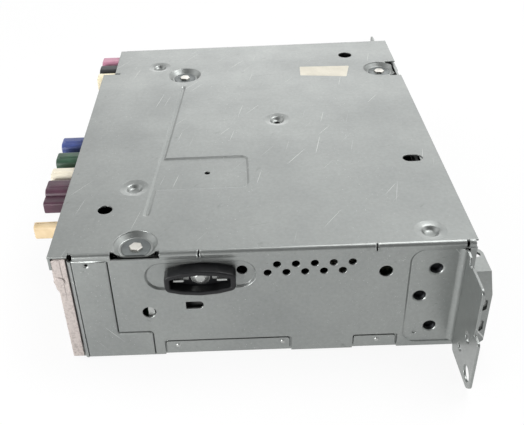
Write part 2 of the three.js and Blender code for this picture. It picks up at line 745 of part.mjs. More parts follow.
// Front bracket.
function frontBracket() {
  const foldSpace = foldBottom - seat;
  const innerHalf = halfWidth - sheet - seat;
  const wall = outline([
    [-halfWidth, bracket.low],
    [halfWidth, bracket.low],
    [halfWidth, foldSpace],
    [innerHalf, foldSpace],
    [innerHalf, level(bracket.highShare)],
    [-innerHalf, level(bracket.highShare)],
    [-innerHalf, foldSpace],
    [-halfWidth, foldSpace],
  ]);
  const beadShape = (grow) => {
    const { length, width, heightShare, corner } = bracketBead;
    return rounded(0, level(heightShare), length + 2 * grow, width + 2 * grow, corner);
  };
  const reach = frontY - cheek.reach;
  const back = sideFront - seat;
  const cheekShape = outline([
    [back, bracket.low],
    [reach + cheek.bottomCut, bracket.low],
    [reach, bracket.low + cheek.bottomCut],
    [reach, level(cheek.shoulderShare)],
    [reach + cheek.topCut, cheekHigh],
    [bracketFace, cheekHigh],
    [bracketFace, foldSpace],
    [back, foldSpace],
  ]);
  const parts = [slab(wall, "y", bracketFace, bracketBack)];
  parts.push(slab(beadShape(sheet / 2), "y", bracketBack - sheet / 2, bracketBack + bracketBead.depth));
  const cuts = [slab(beadShape(0), "y", bracketFace - over, bracketFace + bracketBead.depth)];
  const slotShape = rounded(0, pathMiddle, slot.width, slot.height, slot.corner);
  cuts.push(slab(slotShape, "y", frontY - over, bracketBack + over));
  bracketHoleShares.forEach(([across, up]) => {
    const at = [across * caseWidth, up * caseHeight];
    cuts.push(drum("y", ...at, bracketHoleRadius, frontY - over, bracketBack + over));
  });
  [-1, 1].forEach((side) => {
    parts.push(sideSlab(cheekShape, side, halfWidth - sheet, halfWidth));
    const lugFront = reach + cheek.topCut;
    const lugMiddle = lugFront + lug.width / 2;
    const inner = halfWidth - lug.length;
    const corners = side < 0 ? [0, lug.corner, lug.corner, 0] : [lug.corner, 0, 0, lug.corner];
    const shape = rounded(side * (halfWidth + inner) / 2, lugMiddle, lug.length, lug.width, corners);
    parts.push(slab(shape, "z", cheekHigh - sheet, cheekHigh));
    const holeX = side * (inner + lug.holeFromEnd);
    cuts.push(drum("z", holeX, lugMiddle, lug.hole, cheekHigh - sheet - over, cheekHigh + over));
    cheekSlot.heightShares.forEach((share) => {
      const y = reach + cheekSlot.fromEdge;
      const { width, length } = cheekSlot;
      const opening = rounded(y, level(share), width, length, width / 2 - seat, 1);
      cuts.push(sideSlab(opening, side, halfWidth - sheet - over, halfWidth + over));
    });
  });
  return cut(join(...parts), ...cuts);
}

place("front_bracket", frontBracket(), zincSteel);

// Height of a socket row's axis.
function rowHeight(row) {
  return caseHeight - row.belowLid;
}

// Antenna socket rows: outer edges of each row, for the windows and the header blocks.
function rowSpan(items) {
  const edges = items.map(({ acrossShare, width }) => [
    acrossShare * caseWidth - width / 2,
    acrossShare * caseWidth + width / 2,
  ]);
  return [Math.min(...edges.map(([low]) => low)), Math.max(...edges.map(([, high]) => high))];
}
const leftSpan = rowSpan([...leftJacks, doubleJack, slimJack]);
const rightSpan = rowSpan(rightJacks);
const plugX = plug.centreShare * caseWidth;
const plugLow = boardTop + seat;
const plugHigh = plugLow + level(plug.heightShare);

// Rear wall.
function rearWall() {
  const half = halfWidth - cast.inset;
  const foldSpace = foldBottom - seat;
  const innerHalf = halfWidth - sheet - seat;
  const top = innerTop - cast.topGap;
  const wall = outline([
    [-half, cast.low],
    [half, cast.low],
    [half, foldSpace],
    [innerHalf, foldSpace],
    [innerHalf, top],
    [-innerHalf, top],
    [-innerHalf, foldSpace],
    [-half, foldSpace],
  ]);
  const parts = [slab(wall, "y", castFront, castRear)];
  for (let i = 0; i < fin.count; i += 1) {
    const x = fin.firstShare * caseWidth + i * fin.pitch;
    const root = castRear - cast.wall / 2;
    const depth = castRear + fin.reach - root;
    const corners = [0, fin.thick, fin.thick, 0];
    const shape = rounded(root + depth / 2, (fin.low + finHigh) / 2, depth, finHigh - fin.low, corners, 1);
    parts.push(slab(shape, "x", x, x + fin.thick));
  }
  const bossY = castRear + castBoss.reach - castBoss.radius;
  const bossZ = level(castBoss.heightShare);
  parts.push(drum("x", bossY, bossZ, castBoss.radius, -half, -half + castBoss.width, 16));
  const padX = castPad.acrossShare * caseWidth;
  const padHalf = castPad.width / 2;
  const padFront = castFront - castPad.depth;
  const padLow = level(castPad.lowShare);
  const padHigh = level(castPad.highShare);
  parts.push(block(padX - padHalf, padX + padHalf, padFront, castFront + cast.wall / 2, padLow, padHigh));
  const opening = (x0, x1, z0, z1) => {
    const width = x1 - x0 + 2 * windowMargin;
    const height = z1 - z0 + 2 * windowMargin;
    return slab(
      rounded((x0 + x1) / 2, (z0 + z1) / 2, width, height, sheet, 2),
      "y",
      castFront - over,
      castRear + over,
    );
  };
  const leftHalf = jack.height / 2;
  return cut(
    join(...parts),
    opening(...leftSpan, rowHeight(leftRow) - leftHalf, rowHeight(leftRow) + leftHalf),
    opening(...rightSpan, rowHeight(rightRow) - leftHalf, caseHeight + over),
    opening(plugX - plug.width / 2, plugX + plug.width / 2, plugLow, plugHigh),
  );
}

place("rear_heatsink", rearWall(), castAluminium);

// Boards.
function mainBoard() {
  const front = frontY + board.frontGap;
  const shape = rounded(0, (front + boardRear) / 2, 2 * boardHalf, boardRear - front, 2 * sheet, 1);
  return slab(shape, "z", boardLow, boardTop);
}

place("main_board", mainBoard(), greenBoard);

function antennaBoard() {
  const left = uprightEndShares[0] * caseWidth;
  const right = uprightEndShares[1] * caseWidth;
  const leg = uprightLegShare * caseWidth;
  const foot = boardTop + seat;
  const shape = outline([
    [left, foot],
    [left + upright.legWidth, foot],
    [left + upright.legWidth, uprightLow],
    [leg - upright.legWidth / 2, uprightLow],
    [leg - upright.legWidth / 2, foot],
    [leg + upright.legWidth / 2, foot],
    [leg + upright.legWidth / 2, uprightLow],
    [right, uprightLow],
    [right, level(upright.highShare)],
    [left, level(upright.highShare)],
  ]);
  return slab(shape, "y", uprightFront, uprightBack);
}

place("antenna_board", antennaBoard(), greenBoard);

const canFoot = boardTop + seat;
function shieldCan(x, y, { width, depth, corner }, height) {
  return slab(rounded(x, y, width, depth, corner, 2), "z", canFoot, canFoot + height);
}
const tunerX = -halfWidth + tunerCan.fromSide;
const tunerY = halfDepth - tunerCan.fromRear;
place("processor_shield", shieldCan(0, 0, processorCan, processorCan.height), tinPlate);
place("tuner_shield", shieldCan(tunerX, tunerY, tunerCan, level(tunerCan.heightShare)), tinPlate);

// Power amplifier: a flat package on its leads, against the pad of the rear wall.
function powerAmplifier() {
  const x = castPad.acrossShare * caseWidth;
  const back = castFront - castPad.depth - seat;
  const front = back - ampChip.thick;
  const foot = canFoot + ampChip.lift;
  const half = ampChip.width / 2;
  const top = foot + level(ampChip.heightShare);
  const parts = [block(x - half, x + half, front, back, foot, top)];
  for (let i = 0; i < ampLead.count; i += 1) {
    const lead = x + (i - (ampLead.count - 1) / 2) * ampLead.pitch;
    const y = (front + back) / 2;
    const w = ampLead.width / 2;
    parts.push(block(lead - w, lead + w, y - w, y + w, canFoot, foot + ampChip.lift / 2));
  }
  return join(...parts);
}

place("power_amplifier", powerAmplifier(), blackPlastic);

["capacitor_rear", "capacitor_middle", "capacitor_front"].forEach((name, i) => {
  const { radius, rim } = capacitor;
  const height = level(capacitor.heightShare);
  const body = turned(
    [
      [0, 0],
      [radius, 0],
      [radius, rim],
      [radius - rim / 2, 2 * rim],
      [radius, 3 * rim],
      [radius, height - rim],
      [radius - rim, height],
      [0, height],
    ],
    10,
  );
  const x = halfWidth - capacitor.fromSide;
  const y = halfDepth - capacitor.fromRear - i * capacitor.pitch;
  place(name, body, blackPlastic, radio, x, y, canFoot);
});

// Main plug socket: shroud round a field of pins, soldered on the board's rear edge.
function mainConnector() {
  const front = castRear - plugEnds.inside;
  const mouth = castRear + plugEnds.reach;
  const middle = (plugLow + plugHigh) / 2;
  const floorY = mouth - plugDepth;
  const tall = plugHigh - plugLow;
  const shell = slab(rounded(plugX, middle, plug.width, tall, plug.corner, 2), "y", front, mouth);
  const width = plug.width - 2 * plug.wall;
  const height = tall - 2 * plug.wall;
  const hollow = slab(rounded(plugX, middle, width, height, plug.corner / 2, 2), "y", floorY, mouth + over);
  const half = plug.wall / 2;
  const web = [floorY - seat, mouth - plug.wall, plugLow + seat, plugHigh - seat];
  const divider = block(plugX - half, plugX + half, ...web);
  const pins = [];
  for (let column = 0; column < plugPin.columnCount; column += 1) {
    for (let row = 0; row < plugPin.rowCount; row += 1) {
      const x = plugX + (column - (plugPin.columnCount - 1) / 2) * plugPin.pitchX;
      const z = middle + (row - (plugPin.rowCount - 1) / 2) * plugPin.pitchZ;
      const s = plugPin.side / 2;
      pins.push(block(x - s, x + s, floorY - seat, floorY + plugPin.reach, z - s, z + s));
    }
  }
  return join(cut(shell, hollow), divider, ...pins);
}

place("main_connector", mainConnector(), blackPlastic);

// Header blocks that carry the antenna sockets.
const leftFace = castRear - seat;
const rightFace = uprightBack + seat + header.rightDepth;
function headerBlock(span, row, face) {
  const half = header.height / 2;
  const middle = rowHeight(row);
  return block(span[0] + sheet, span[1] - sheet, uprightBack + seat, face, middle - half, middle + half);
}
place("antenna_header_left", headerBlock(leftSpan, leftRow, leftFace), castAluminium);
place("antenna_header_right", headerBlock(rightSpan, rightRow, rightFace), castAluminium);

// A coded socket housing at the origin, mouth towards +Y: shell, keyed bore and coaxial tube.
function jackShell(width, height, length, keyShares) {
  const floorY = length - jack.depth;
  const shell = slab(rounded(0, 0, width, height, jack.corner, 2), "y", 0, length);
  const bore = drum("y", 0, 0, jack.bore, floorY, length + over);
  const tube = drum("y", 0, 0, coax.radius, floorY - seat, length - coax.short, 8);
  const pinHole = drum("y", 0, 0, coax.bore, floorY + seat, length + over, 6);
  const half = jackKey.width / 2;
  const low = jack.bore - jackKey.rise;
  const high = jack.bore + jackKey.rise / 2;
  const keys = keyShares.map((share) => {
    const key = block(low, high, floorY, length - seat, -half, half);
    return key.rotate([0, THREE.MathUtils.radToDeg(2 * Math.PI * share), 0]);
  });
  return join(cut(shell, bore), cut(tube, pinHole), ...keys);
}

function placeJack({ name, acrossShare, width, colour, keyShares }, row, face) {
  const length = row.end - face - seat;
  const solid = jackShell(width, jack.height, length, keyShares);
  place(name, solid, jackPlastic(colour), radio, acrossShare * caseWidth, face + seat, rowHeight(row));
}

leftJacks.forEach((item) => placeJack(item, leftRow, leftFace));
rightJacks.forEach((item) => placeJack(item, rightRow, rightFace));

function bordeauxJack() {
  const length = leftRow.end - leftFace - seat;
  const main = jackShell(doubleJack.width, jack.height, length, doubleKeyShares);
  const x = -doubleJack.width / 2 - doubleSide.width / 2;
  const top = jack.height / 2;
  const middle = top - doubleSide.height / 2;
  const side = slab(
    rounded(x + doubleSide.gap, middle, doubleSide.width + doubleSide.gap, doubleSide.height, sheet, 2),
    "y",
    0,
    length - doubleSide.gap,
  );
  const bore = drum("y", x, middle, slimBore, length - jack.depth, length + over, 8);
  return cut(join(main, side), bore);
}

place(
  doubleJack.name,
  bordeauxJack(),
  jackPlastic(doubleJack.colour),
  radio,
  doubleJack.acrossShare * caseWidth,
  leftFace + seat,
  rowHeight(leftRow),
);

function beigeJack() {
  const length = leftRow.end - leftFace - seat;
  const middle = (jack.height - slimJack.height) / 2;
  const shape = rounded(0, middle, slimJack.width, slimJack.height, slimJack.width / 2 - seat, 3);
  const bore = drum("y", 0, middle, slimBore, length - jack.depth, length + over, 8);
  return cut(slab(shape, "y", 0, length), bore);
}

place(
  slimJack.name,
  beigeJack(),
  jackPlastic(slimJack.colour),
  radio,
  slimJack.acrossShare * caseWidth,
  leftFace + seat,
  rowHeight(leftRow),
);

// Buffer ring and its clip, in the left side's pressing.
const bufferX = -halfWidth + bufferPad.depth - seat;
const bufferY = frontY + bufferPad.fromFront;
function bufferRingSolid() {
  const { length, end, bulge, wall, proud } = bufferRing;
  const outer = slab(barrel(bufferY, bufferLevel, length, end, bulge), "x", bufferX - proud, bufferX);
  const inner = barrel(bufferY, bufferLevel, length - 2 * wall, end - wall, bulge);
  return cut(outer, slab(inner, "x", bufferX - proud - over, bufferX + over));
}

place("side_buffer", bufferRingSolid(), blackRubber);

function bufferClipSolid() {
  const { play, height, tab, reach, dome, domeRise } = bufferClip;
  const length = bufferRing.length - 2 * bufferRing.wall - 2 * play;
  const z = bufferLevel;
  const strap = slab(rounded(bufferY, z, length, height, sheet, 2), "x", bufferX - thinSheet, bufferX);
  const tabs = [-1, 1].map((end) => {
    const outer = bufferY + (end * length) / 2;
    const inner = outer - end * tab;
    const y0 = Math.min(outer, inner);
    const y1 = Math.max(outer, inner);
    return block(bufferX - reach, bufferX, y0 + seat, y1 - seat, z - thinSheet / 2, z + thinSheet / 2);
  });
  const stud = turned(
    [
      [0, 0],
      [dome, 0],
      [dome, domeRise / 3],
      [dome / 2, domeRise],
      [0, domeRise],
    ],
    16,
    "x",
  );
  const head = moved(stud.mirror([1, 0, 0]), bufferX - thinSheet / 2, bufferY, z);
  return join(strap, ...tabs, head);
}

place("buffer_clip", bufferClipSolid(), brightSteel);

// Drive frame: four walls with an inward rim below, lugs under the lid's screws, and the studs.
function frameWalls() {
  const low = frameLow;
  const wall = (side) => sideBlock(side, frameInner, frameHalf, frameFrontY, frameRearY, low, frameHigh);
  const front = cut(
    block(-frameHalf, frameHalf, frameFrontY, frameFrontY + sheet, low, frameHigh),
    block(
      -frameInner + frameFront.post,
      frameInner - frameFront.post,
      frameFrontY - over,
      frameFrontY + sheet + over,
      level(frameFront.sillShare),
      level(frameFront.lintelShare),
    ),
  );
  const rearHigh = level(frame.rearHighShare);
  const rear = block(-frameHalf, frameHalf, frameRearY - sheet, frameRearY, low, rearHigh);
  const rim = cut(
    block(-frameHalf, frameHalf, frameFrontY, frameRearY, low, rimTop),
    block(
      -frameInner + frameRim.side,
      frameInner - frameRim.side,
      frameFrontY + frameRim.front,
      frameRearY - frameRim.rear,
      low - over,
      rimTop + over,
    ),
  );
  return [wall(-1), wall(1), front, rear, rim];
}

function frameLugs() {
  const high = frameHigh;
  const low = high - sheet;
  const [leftScrew, rightScrew, frontScrew] = lidDimpleShares.map(({ across, along }) => [
    across * caseWidth,
    along * caseDepth,
  ]);
  const half = frameLug.width / 2;
  const [leftY, rightY, frontX] = [leftScrew[1], rightScrew[1], frontScrew[0]];
  const far = frameHalf + frameLug.outward;
  const near = frameHalf - frameLug.inward;
  const front = frameFrontY - frameLug.forward;
  return {
    screws: [leftScrew, rightScrew, frontScrew],
    plates: [
      sideBlock(-1, frameInner, far, leftY - half, leftY + half, low, high),
      sideBlock(1, near, frameHalf, rightY - half, rightY + half, low, high),
      block(frontX - half, frontX + half, front, frameFrontY + half, low, high),
    ],
  };
}

function sliderPins() {
  const y0 = -slider.front + sliderSlot.inset;
  return [y0, y0 + slider.length - 2 * sliderSlot.inset].map((y) => [y, sliderLow + slider.height / 2]);
}

function driveFrame() {
  const lugs = frameLugs();
  const sliderFace = frameHalf + seat + thinSheet + seat;
  const pins = sliderPins().flatMap(([y, z]) => [
    drum("x", y, z, guidePin.radius, frameInner, sliderFace + guidePin.headThick),
    drum("x", y, z, guidePin.head, sliderFace, sliderFace + guidePin.headThick),
  ]);
  const pinEnd = frameInner - pivotPin.length;
  const pivot = drum("x", pivotY, pivotZ, pivotPin.radius, pinEnd, frameInner + sheet / 2);
  const post = drum("x", reductionY, reductionZ, gearPost, outerPlane - seat, -frameInner);
  const body = join(...frameWalls(), ...lugs.plates, ...pins, pivot, post);
  const holes = lugs.screws.map(([x, y]) =>
    drum("z", x, y, frameLug.hole, frameHigh - sheet - seat, frameHigh + over, 10),
  );
  const wallHole = (y, z, radius) => drum("x", y, z, radius, -frameHalf - over, -frameInner + over);
  const shaftHole = wallHole(pivotY, pivotZ, pivotPin.radius + running);
  const gearRadius = (gearModule * (rollerToothCount + 2)) / 2 + seat;
  const gearWindow = block(
    -frameInner,
    innerPlane + gearWidth + seat,
    frameFrontY - over,
    frameFrontY + over,
    rollerRestZ - gearRadius,
    rollerRestZ + roller.lift + gearRadius,
  );
  const motorHole = wallHole(motorY, motorZ, loadingMotor.boss + seat);
  const motorReach = loadingMotor.radius + seat;
  const motorWindow = block(
    -frameInner,
    -frameInner + loadingMotor.length + 2 * seat,
    motorY - motorReach,
    motorY + motorReach,
    frameLow - over,
    rimTop + over,
  );
  return cut(body, ...holes, shaftHole, motorHole, gearWindow, motorWindow);
}

place("drive_frame", driveFrame(), zincSteel);

// Disc guides.
function upperGuide() {
  const front = frameFrontY + sheet + seat;
  const back = front + guide.depth;
  const low = pathHigh + seat;
  const { flare, thick } = guide;
  const plate = outline([
    [front, low + flare],
    [front + flare, low],
    [back - flare, low],
    [back, low + flare],
    [back, low + flare + thick],
    [back - flare, low + thick],
    [front + flare, low + thick],
    [front, low + flare + thick],
  ]);
  const parts = [slab(plate, "x", -guide.width / 2, guide.width / 2)];
  for (let i = 0; i < guideRib.count; i += 1) {
    const x = ((i / (guideRib.count - 1)) * 2 - 1) * (guide.width / 2 - guideRib.width);
    const half = guideRib.width / 2;
    parts.push(block(x - half, x + half, front, back - flare, low + thick / 2, level(guideRib.highShare)));
  }
  return join(...parts);
}

place("upper_disc_guide", upperGuide(), blackPlastic);

function lowerGuide() {
  const back = frameFrontY - seat;
  const front = bracketBack + seat;
  const top = pathLow - seat;
  const { flare, thick, foot } = guide;
  const shape = outline([
    [front, top - flare - thick],
    [front, top - flare],
    [front + flare, top],
    [back, top],
    [back, top - foot],
    [back - thick, top - foot],
    [back - thick, top - thick],
    [front + flare, top - thick],
  ]);
  return slab(shape, "x", -guide.width / 2, guide.width / 2);
}

place("lower_disc_guide", lowerGuide(), blackPlastic);

// Rubber dampers between the frame's rim and the floating deck.
const damperX = deck.width / 2 - damper.fromSide;
const damperPlaces = {
  damper_front_right: [damperX, -deck.front + damper.fromEnd],
  damper_rear_right: [damperX, deck.rear - damper.fromEnd],
  damper_front_left: [-damperX, -deck.front + deckNotch.depth + damper.fromEnd],
  damper_rear_left: [-damperX, deck.rear - damper.fromEnd],
};
Object.entries(damperPlaces).forEach(([name, [x, y]]) => {
  const height = deckLevel - rimTop - 2 * seat;
  const body = turned(
    [
      [0, 0],
      [damper.radius, 0],
      [damper.radius, height / 4],
      [damper.waist, height / 2],
      [damper.radius, (3 * height) / 4],
      [damper.radius, height],
      [0, height],
    ],
    8,
  );
  place(name, body, blackRubber, radio, x, y, rimTop + seat);
});

// Floating deck, in the drive's frame.
function onSledLine(solid) {
  return solid.rotate([0, 0, THREE.MathUtils.radToDeg(sledTurn)]);
}

function deckPlate() {
  const front = -deck.front - discY;
  const rear = deck.rear - discY;
  const half = deck.width / 2;
  const plate = slab(
    rounded(0, (front + rear) / 2, deck.width, rear - front, deck.corner, 2),
    "z",
    deckLevel,
    deckTop,
  );
  const low = deckLevel - over;
  const high = deckTop + over;
  const notchX = -half + deckNotch.width;
  const notch = block(-half - over, notchX, front - over, front + deckNotch.depth, low, high);
  const windowEnd = sled.inner + sled.length + sledTravel + optics.gap;
  const opening = block(
    sled.inner - optics.gap,
    windowEnd,
    -optics.halfWidth - optics.gap,
    optics.halfWidth + optics.gap,
    low,
    high,
  );
  const shaftHole = drum("z", 0, 0, spindleMotor.hole, low, high, 12);
  const clips = [-1, 1].flatMap((side) =>
    [rod.inner - seat - rodClip.length, rod.outer + seat].map((start) =>
      onSledLine(
        block(
          start,
          start + rodClip.length,
          side * rod.side - rodClip.width / 2,
          side * rod.side + rodClip.width / 2,
          deckLevel - rodClip.drop,
          deckLevel + deck.thick / 2,
        ),
      ),
    ),
  );
  const hinge = clamp.hingeY - discY;
  const ears = [-1, 1].map((side) =>
    sideBlock(
      side,
      clamp.halfWidth + seat,
      clamp.halfWidth + seat + clampEar.thick,
      hinge - clampEar.width / 2,
      hinge + clampEar.width / 2,
      deckLevel + deck.thick / 2,
      clampLevel + clampEar.above,
    ),
  );
  const far = clamp.halfWidth + clampEar.thick + over;
  const pinHole = drum("x", hinge, clampLevel, clamp.pin + running, -far, far);
  return cut(join(plate, ...clips, ...ears), notch, onSledLine(opening), shaftHole, pinHole);
}

place("deck_plate", deckPlate(), zincSteel, drive);

const platterBottom = platterLevel - platter.thick;
const shaftTop = platterBottom + platter.thick / 2;
const motorTop = deckLevel - seat;
place(
  "spindle_motor",
  turned([
    [0, motorTop - spindleMotor.height],
    [spindleMotor.radius - spindleMotor.edge, motorTop - spindleMotor.height],
    [spindleMotor.radius, motorTop - spindleMotor.height + spindleMotor.edge],
    [spindleMotor.radius, motorTop],
    [platter.stem, motorTop],
    [platter.stem, deckTop - seat],
    [spindleMotor.shaft, deckTop - seat],
    [spindleMotor.shaft, shaftTop],
    [0, shaftTop],
  ]),
  brightSteel,
  drive,
);

const shaftBore = spindleMotor.shaft + running;
place(
  "turntable",
  turned(
    [
      [0, shaftTop + seat],
      [shaftBore, shaftTop + seat],
      [shaftBore, deckTop + seat],
      [platter.stem, deckTop + seat],
      [platter.stem, platterBottom],
      [platter.radius, platterBottom],
      [platter.radius, platterLevel],
      [hub.radius, platterLevel],
      [hub.tip, platterLevel + hub.rise],
      [0, platterLevel + hub.rise],
    ],
    16,
  ),
  blackPlastic,
  drive,
);

// Clamp arm, hinged on the deck's ears, with the puck hanging in its eye.
function clampArm() {
  const hinge = clamp.hingeY - discY;
  const low = clampLevel - thinSheet / 2;
  const high = clampLevel + thinSheet / 2;
  const half = clamp.halfWidth - sheet;
  const plate = outline([
    [-half, hinge],
    [-half, hinge - clamp.eye],
    [-clamp.eye, 0],
    [clamp.eye, 0],
    [half, hinge - clamp.eye],
    [half, hinge],
  ]);
  const windowTop = hinge - clamp.eye;
  const window = outline([
    [-half + 2 * clamp.window, windowTop],
    [-clamp.window, 3 * clamp.window],
    [clamp.window, 3 * clamp.window],
    [half - 2 * clamp.window, windowTop],
  ]);
  const pinHalf = clamp.halfWidth + clampEar.thick + 2 * seat;
  const body = join(
    slab(plate, "z", low, high),
    drum("z", 0, 0, clamp.eye, low, high, 16),
    drum("x", hinge, clampLevel, clamp.barrel, -clamp.halfWidth, clamp.halfWidth),
    drum("x", hinge, clampLevel, clamp.pin, -pinHalf, pinHalf, 8),
  );
  return cut(
    body,
    drum("z", 0, 0, puck.neck + puckPlay, low - over, high + over, 16),
    slab(window, "z", low - over, high + over),
  );
}

place("clamp_arm", clampArm(), zincSteel, drive);

const puckTop = pathHigh + puck.thick;
const capBottom = clampLevel + thinSheet / 2 + seat;
place(
  "clamp_puck",
  turned([
    [0, pathHigh + puck.pocketDepth],
    [puck.pocket, pathHigh + puck.pocketDepth],
    [puck.pocket, pathHigh],
    [puck.radius, pathHigh],
    [puck.radius, puckTop - puck.capThick],
    [puck.radius - puck.capThick, puckTop],
    [puck.neck, puckTop],
    [puck.neck, capBottom],
    [puck.cap, capBottom],
    [puck.cap, capBottom + puck.capThick],
    [0, capBottom + puck.capThick],
  ], 14),
  blackPlastic,
  drive,
);

// Pickup sled with its lens, guide rods, lead screw and motor, on the sled's line.
function pickupSled() {
  const { inner, length, halfWidth: half, corner } = sled;
  const outer = inner + length;
  const centre = inner + length / 2;
  const base = slab(rounded(centre, 0, length, 2 * half, corner, 2), "z", sledLow, sledMiddle);
  const opticsShape = rounded(centre, 0, length, 2 * optics.halfWidth, corner, 2);
  const opticsBlock = slab(opticsShape, "z", sledMiddle - sheet, sledHigh);
  const bores = [-1, 1].map((side) =>
    drum("x", side * rod.side, rodLevel, rod.radius + running, inner - over, outer + over),
  );
  const nutRadius = leadScrew.radius + nut.wall;
  const nutEnd = inner + nut.length;
  const bridge = block(inner, nutEnd, half - corner, leadScrew.side, sledLow, sledMiddle - sheet);
  const nutBody = drum("x", leadScrew.side, screwLevel, nutRadius, inner, nutEnd);
  const boreRadius = leadScrew.radius + running;
  const nutBore = drum("x", leadScrew.side, screwLevel, boreRadius, inner - over, nutEnd + over);
  const wellFloor = sledHigh - lens.depth - lens.play - seat;
  const well = drum("z", inner + lens.offset, 0, lens.well, wellFloor, sledHigh + over, 16);
  return cut(join(base, opticsBlock, bridge, nutBody), ...bores, nutBore, well);
}

place("pickup_sled", pickupSled(), blackPlastic, sledLine);

place(
  "lens_holder",
  turned(
    [
      [0, -lens.depth],
      [lens.holder, -lens.depth],
      [lens.holder, lens.rise / 2],
      [lensGlass.radius, lens.rise - lensGlass.dome],
      [lensGlass.radius / 2, lens.rise],
      [0, lens.rise],
    ],
    16,
  ),
  whitePlastic,
  sledLine,
  sled.inner + lens.offset,
  0,
  sledHigh,
);

[["guide_rod_rear", 1], ["guide_rod_front", -1]].forEach(([name, side]) => {
  const shaft = drum("x", side * rod.side, rodLevel, rod.radius, rod.inner, rod.outer, 10);
  place(name, shaft, brightSteel, sledLine);
});

const screwStart = leadScrew.motorEnd + seat + sledMotor.bossRise;
place(
  "lead_screw",
  drum("x", 0, 0, leadScrew.radius, screwStart, leadScrew.motorEnd + leadScrew.length),
  brightSteel,
  sledLine,
  0,
  leadScrew.side,
  screwLevel,
);

place(
  "sled_motor",
  join(
    drum("x", 0, 0, sledMotor.radius, leadScrew.motorEnd - sledMotor.length, leadScrew.motorEnd, 16),
    drum("x", 0, 0, sledMotor.boss, leadScrew.motorEnd - sheet, leadScrew.motorEnd + sledMotor.bossRise),
  ),
  brightSteel,
  sledLine,
  0,
  leadScrew.side,
  screwLevel,
);

// Gears, with their axes along X. A tooth points at the angle given.
function gearOutline(count, toothAt) {
  const radius = (gearModule * count) / 2;
  const tip = radius + toothShares.addendum * gearModule;
  const root = radius - toothShares.dedendum * gearModule;
  const step = (2 * Math.PI) / count;
  const flank = [
    [root, -toothShares.root],
    [tip, -toothShares.tip],
    [tip, toothShares.tip],
    [root, toothShares.root],
  ];
  const points = [];
  for (let i = 0; i < count; i += 1) {
    flank.forEach(([r, share]) => {
      const angle = toothAt + (i + share) * step;
      points.push(new THREE.Vector2(r * Math.cos(angle), r * Math.sin(angle)));
    });
  }
  return outline(points);
}

function gear(count, toothAt, plane) {
  return slab(gearOutline(count, toothAt), "x", plane, plane + gearWidth);
}

// The angle of a tooth on a gear whose gap faces a tooth of its neighbour.
function gapTowards(angle, count) {
  return angle + Math.PI + Math.PI / count;
}

const armInner = arm.side - thinSheet / 2;
const armOuter = arm.side + thinSheet / 2;
const clutchBore = pivotPin.radius + running;

place(
  "clutch_output_gear",
  join(
    gear(driveToothCount, rollerAngle, innerPlane),
    drum("x", 0, 0, pivotPin.radius, gearPlane - seat, -armInner + seat),
  ),
  whitePlastic,
  radio,
  0,
  pivotY,
  pivotZ,
);

place(
  "clutch_input_gear",
  cut(
    join(
      gear(clutchToothCount, reductionAngle, gearPlane),
      drum("x", 0, 0, clutchHub, gearPlane + gearWidth / 2, -frameHalf - seat),
    ),
    drum("x", 0, 0, clutchBore, gearPlane - over, -frameHalf + over),
  ),
  whitePlastic,
  radio,
  0,
  pivotY,
  pivotZ,
);

function reductionGear() {
  const small = gear(smallToothCount, gapTowards(reductionAngle, smallToothCount), gearPlane);
  const large = gear(largeToothCount, pinionAngle, outerPlane);
  const core = (gearModule * smallToothCount) / 2 - toothShares.dedendum * gearModule;
  const neck = drum("x", 0, 0, core, outerPlane + gearWidth / 2, -frameHalf - seat);
  const bore = drum("x", 0, 0, gearPost + running, outerPlane - over, -frameHalf + over, 10);
  return cut(join(small, large, neck), bore);
}

place("reduction_gear", reductionGear(), whitePlastic, radio, 0, reductionY, reductionZ);

place(
  "motor_pinion",
  cut(
    gear(pinionToothCount, gapTowards(pinionAngle, pinionToothCount), outerPlane),
    drum("x", 0, 0, loadingMotor.shaft + running, outerPlane - over, outerPlane + gearWidth + over),
  ),
  brassMetal,
  radio,
  0,
  motorY,
  motorZ,
);

const motorFace = -frameInner + seat;
place(
  "loading_motor",
  join(
    drum("x", motorY, motorZ, loadingMotor.radius, motorFace, motorFace + loadingMotor.length, 16),
    drum("x", motorY, motorZ, loadingMotor.boss, -frameHalf, motorFace + sheet),
    drum("x", motorY, motorZ, loadingMotor.shaft, outerPlane - seat, motorFace + sheet),
  ),
  brightSteel,
);

place(
  "roller_gear",
  cut(
    gear(rollerToothCount, gapTowards(rollerAngle, rollerToothCount), innerPlane),
    drum("x", 0, 0, roller.shaft + running, innerPlane - over, innerPlane + gearWidth + over),
  ),
  whitePlastic,
  radio,
  0,
  rollerY,
  rollerRestZ,
);

// Roller arm: two side plates joined by a bar, pivoted beside the gears.
function rollerArm() {
  const barZ = pivotZ - arm.barDrop;
  const quarter = Math.PI / 2;
  const armOutline = outline([
    ...arc(rollerY, rollerRestZ, arm.rollerEye, quarter, 3 * quarter, 6),
    [pivotY - arm.eye, pivotZ - arm.eye],
    [pivotY - arm.eye, barZ - thinSheet],
    [pivotY + arm.eye, barZ - thinSheet],
    ...arc(pivotY, pivotZ, arm.eye, 0, quarter, 3),
  ]);
  const plates = [-1, 1].map((side) => {
    const low = Math.min(side * armInner, side * armOuter);
    const high = Math.max(side * armInner, side * armOuter);
    const bore = (y, z, radius) => drum("x", y, z, radius + running, low - over, high + over);
    const plate = slab(armOutline, "x", low, high);
    return cut(plate, bore(rollerY, rollerRestZ, roller.shaft), bore(pivotY, pivotZ, pivotPin.radius));
  });
  const depth = arm.barDepth / 2;
  const bar = block(-armOuter, armOuter, pivotY - depth, pivotY + depth, barZ - thinSheet, barZ);
  return join(...plates, bar);
}

place("roller_arm", rollerArm(), zincSteel);

place(
  "roller_shaft",
  drum("x", 0, 0, roller.shaft, innerPlane - seat, armOuter + seat),
  brightSteel,
  radio,
  0,
  rollerY,
  rollerRestZ,
);

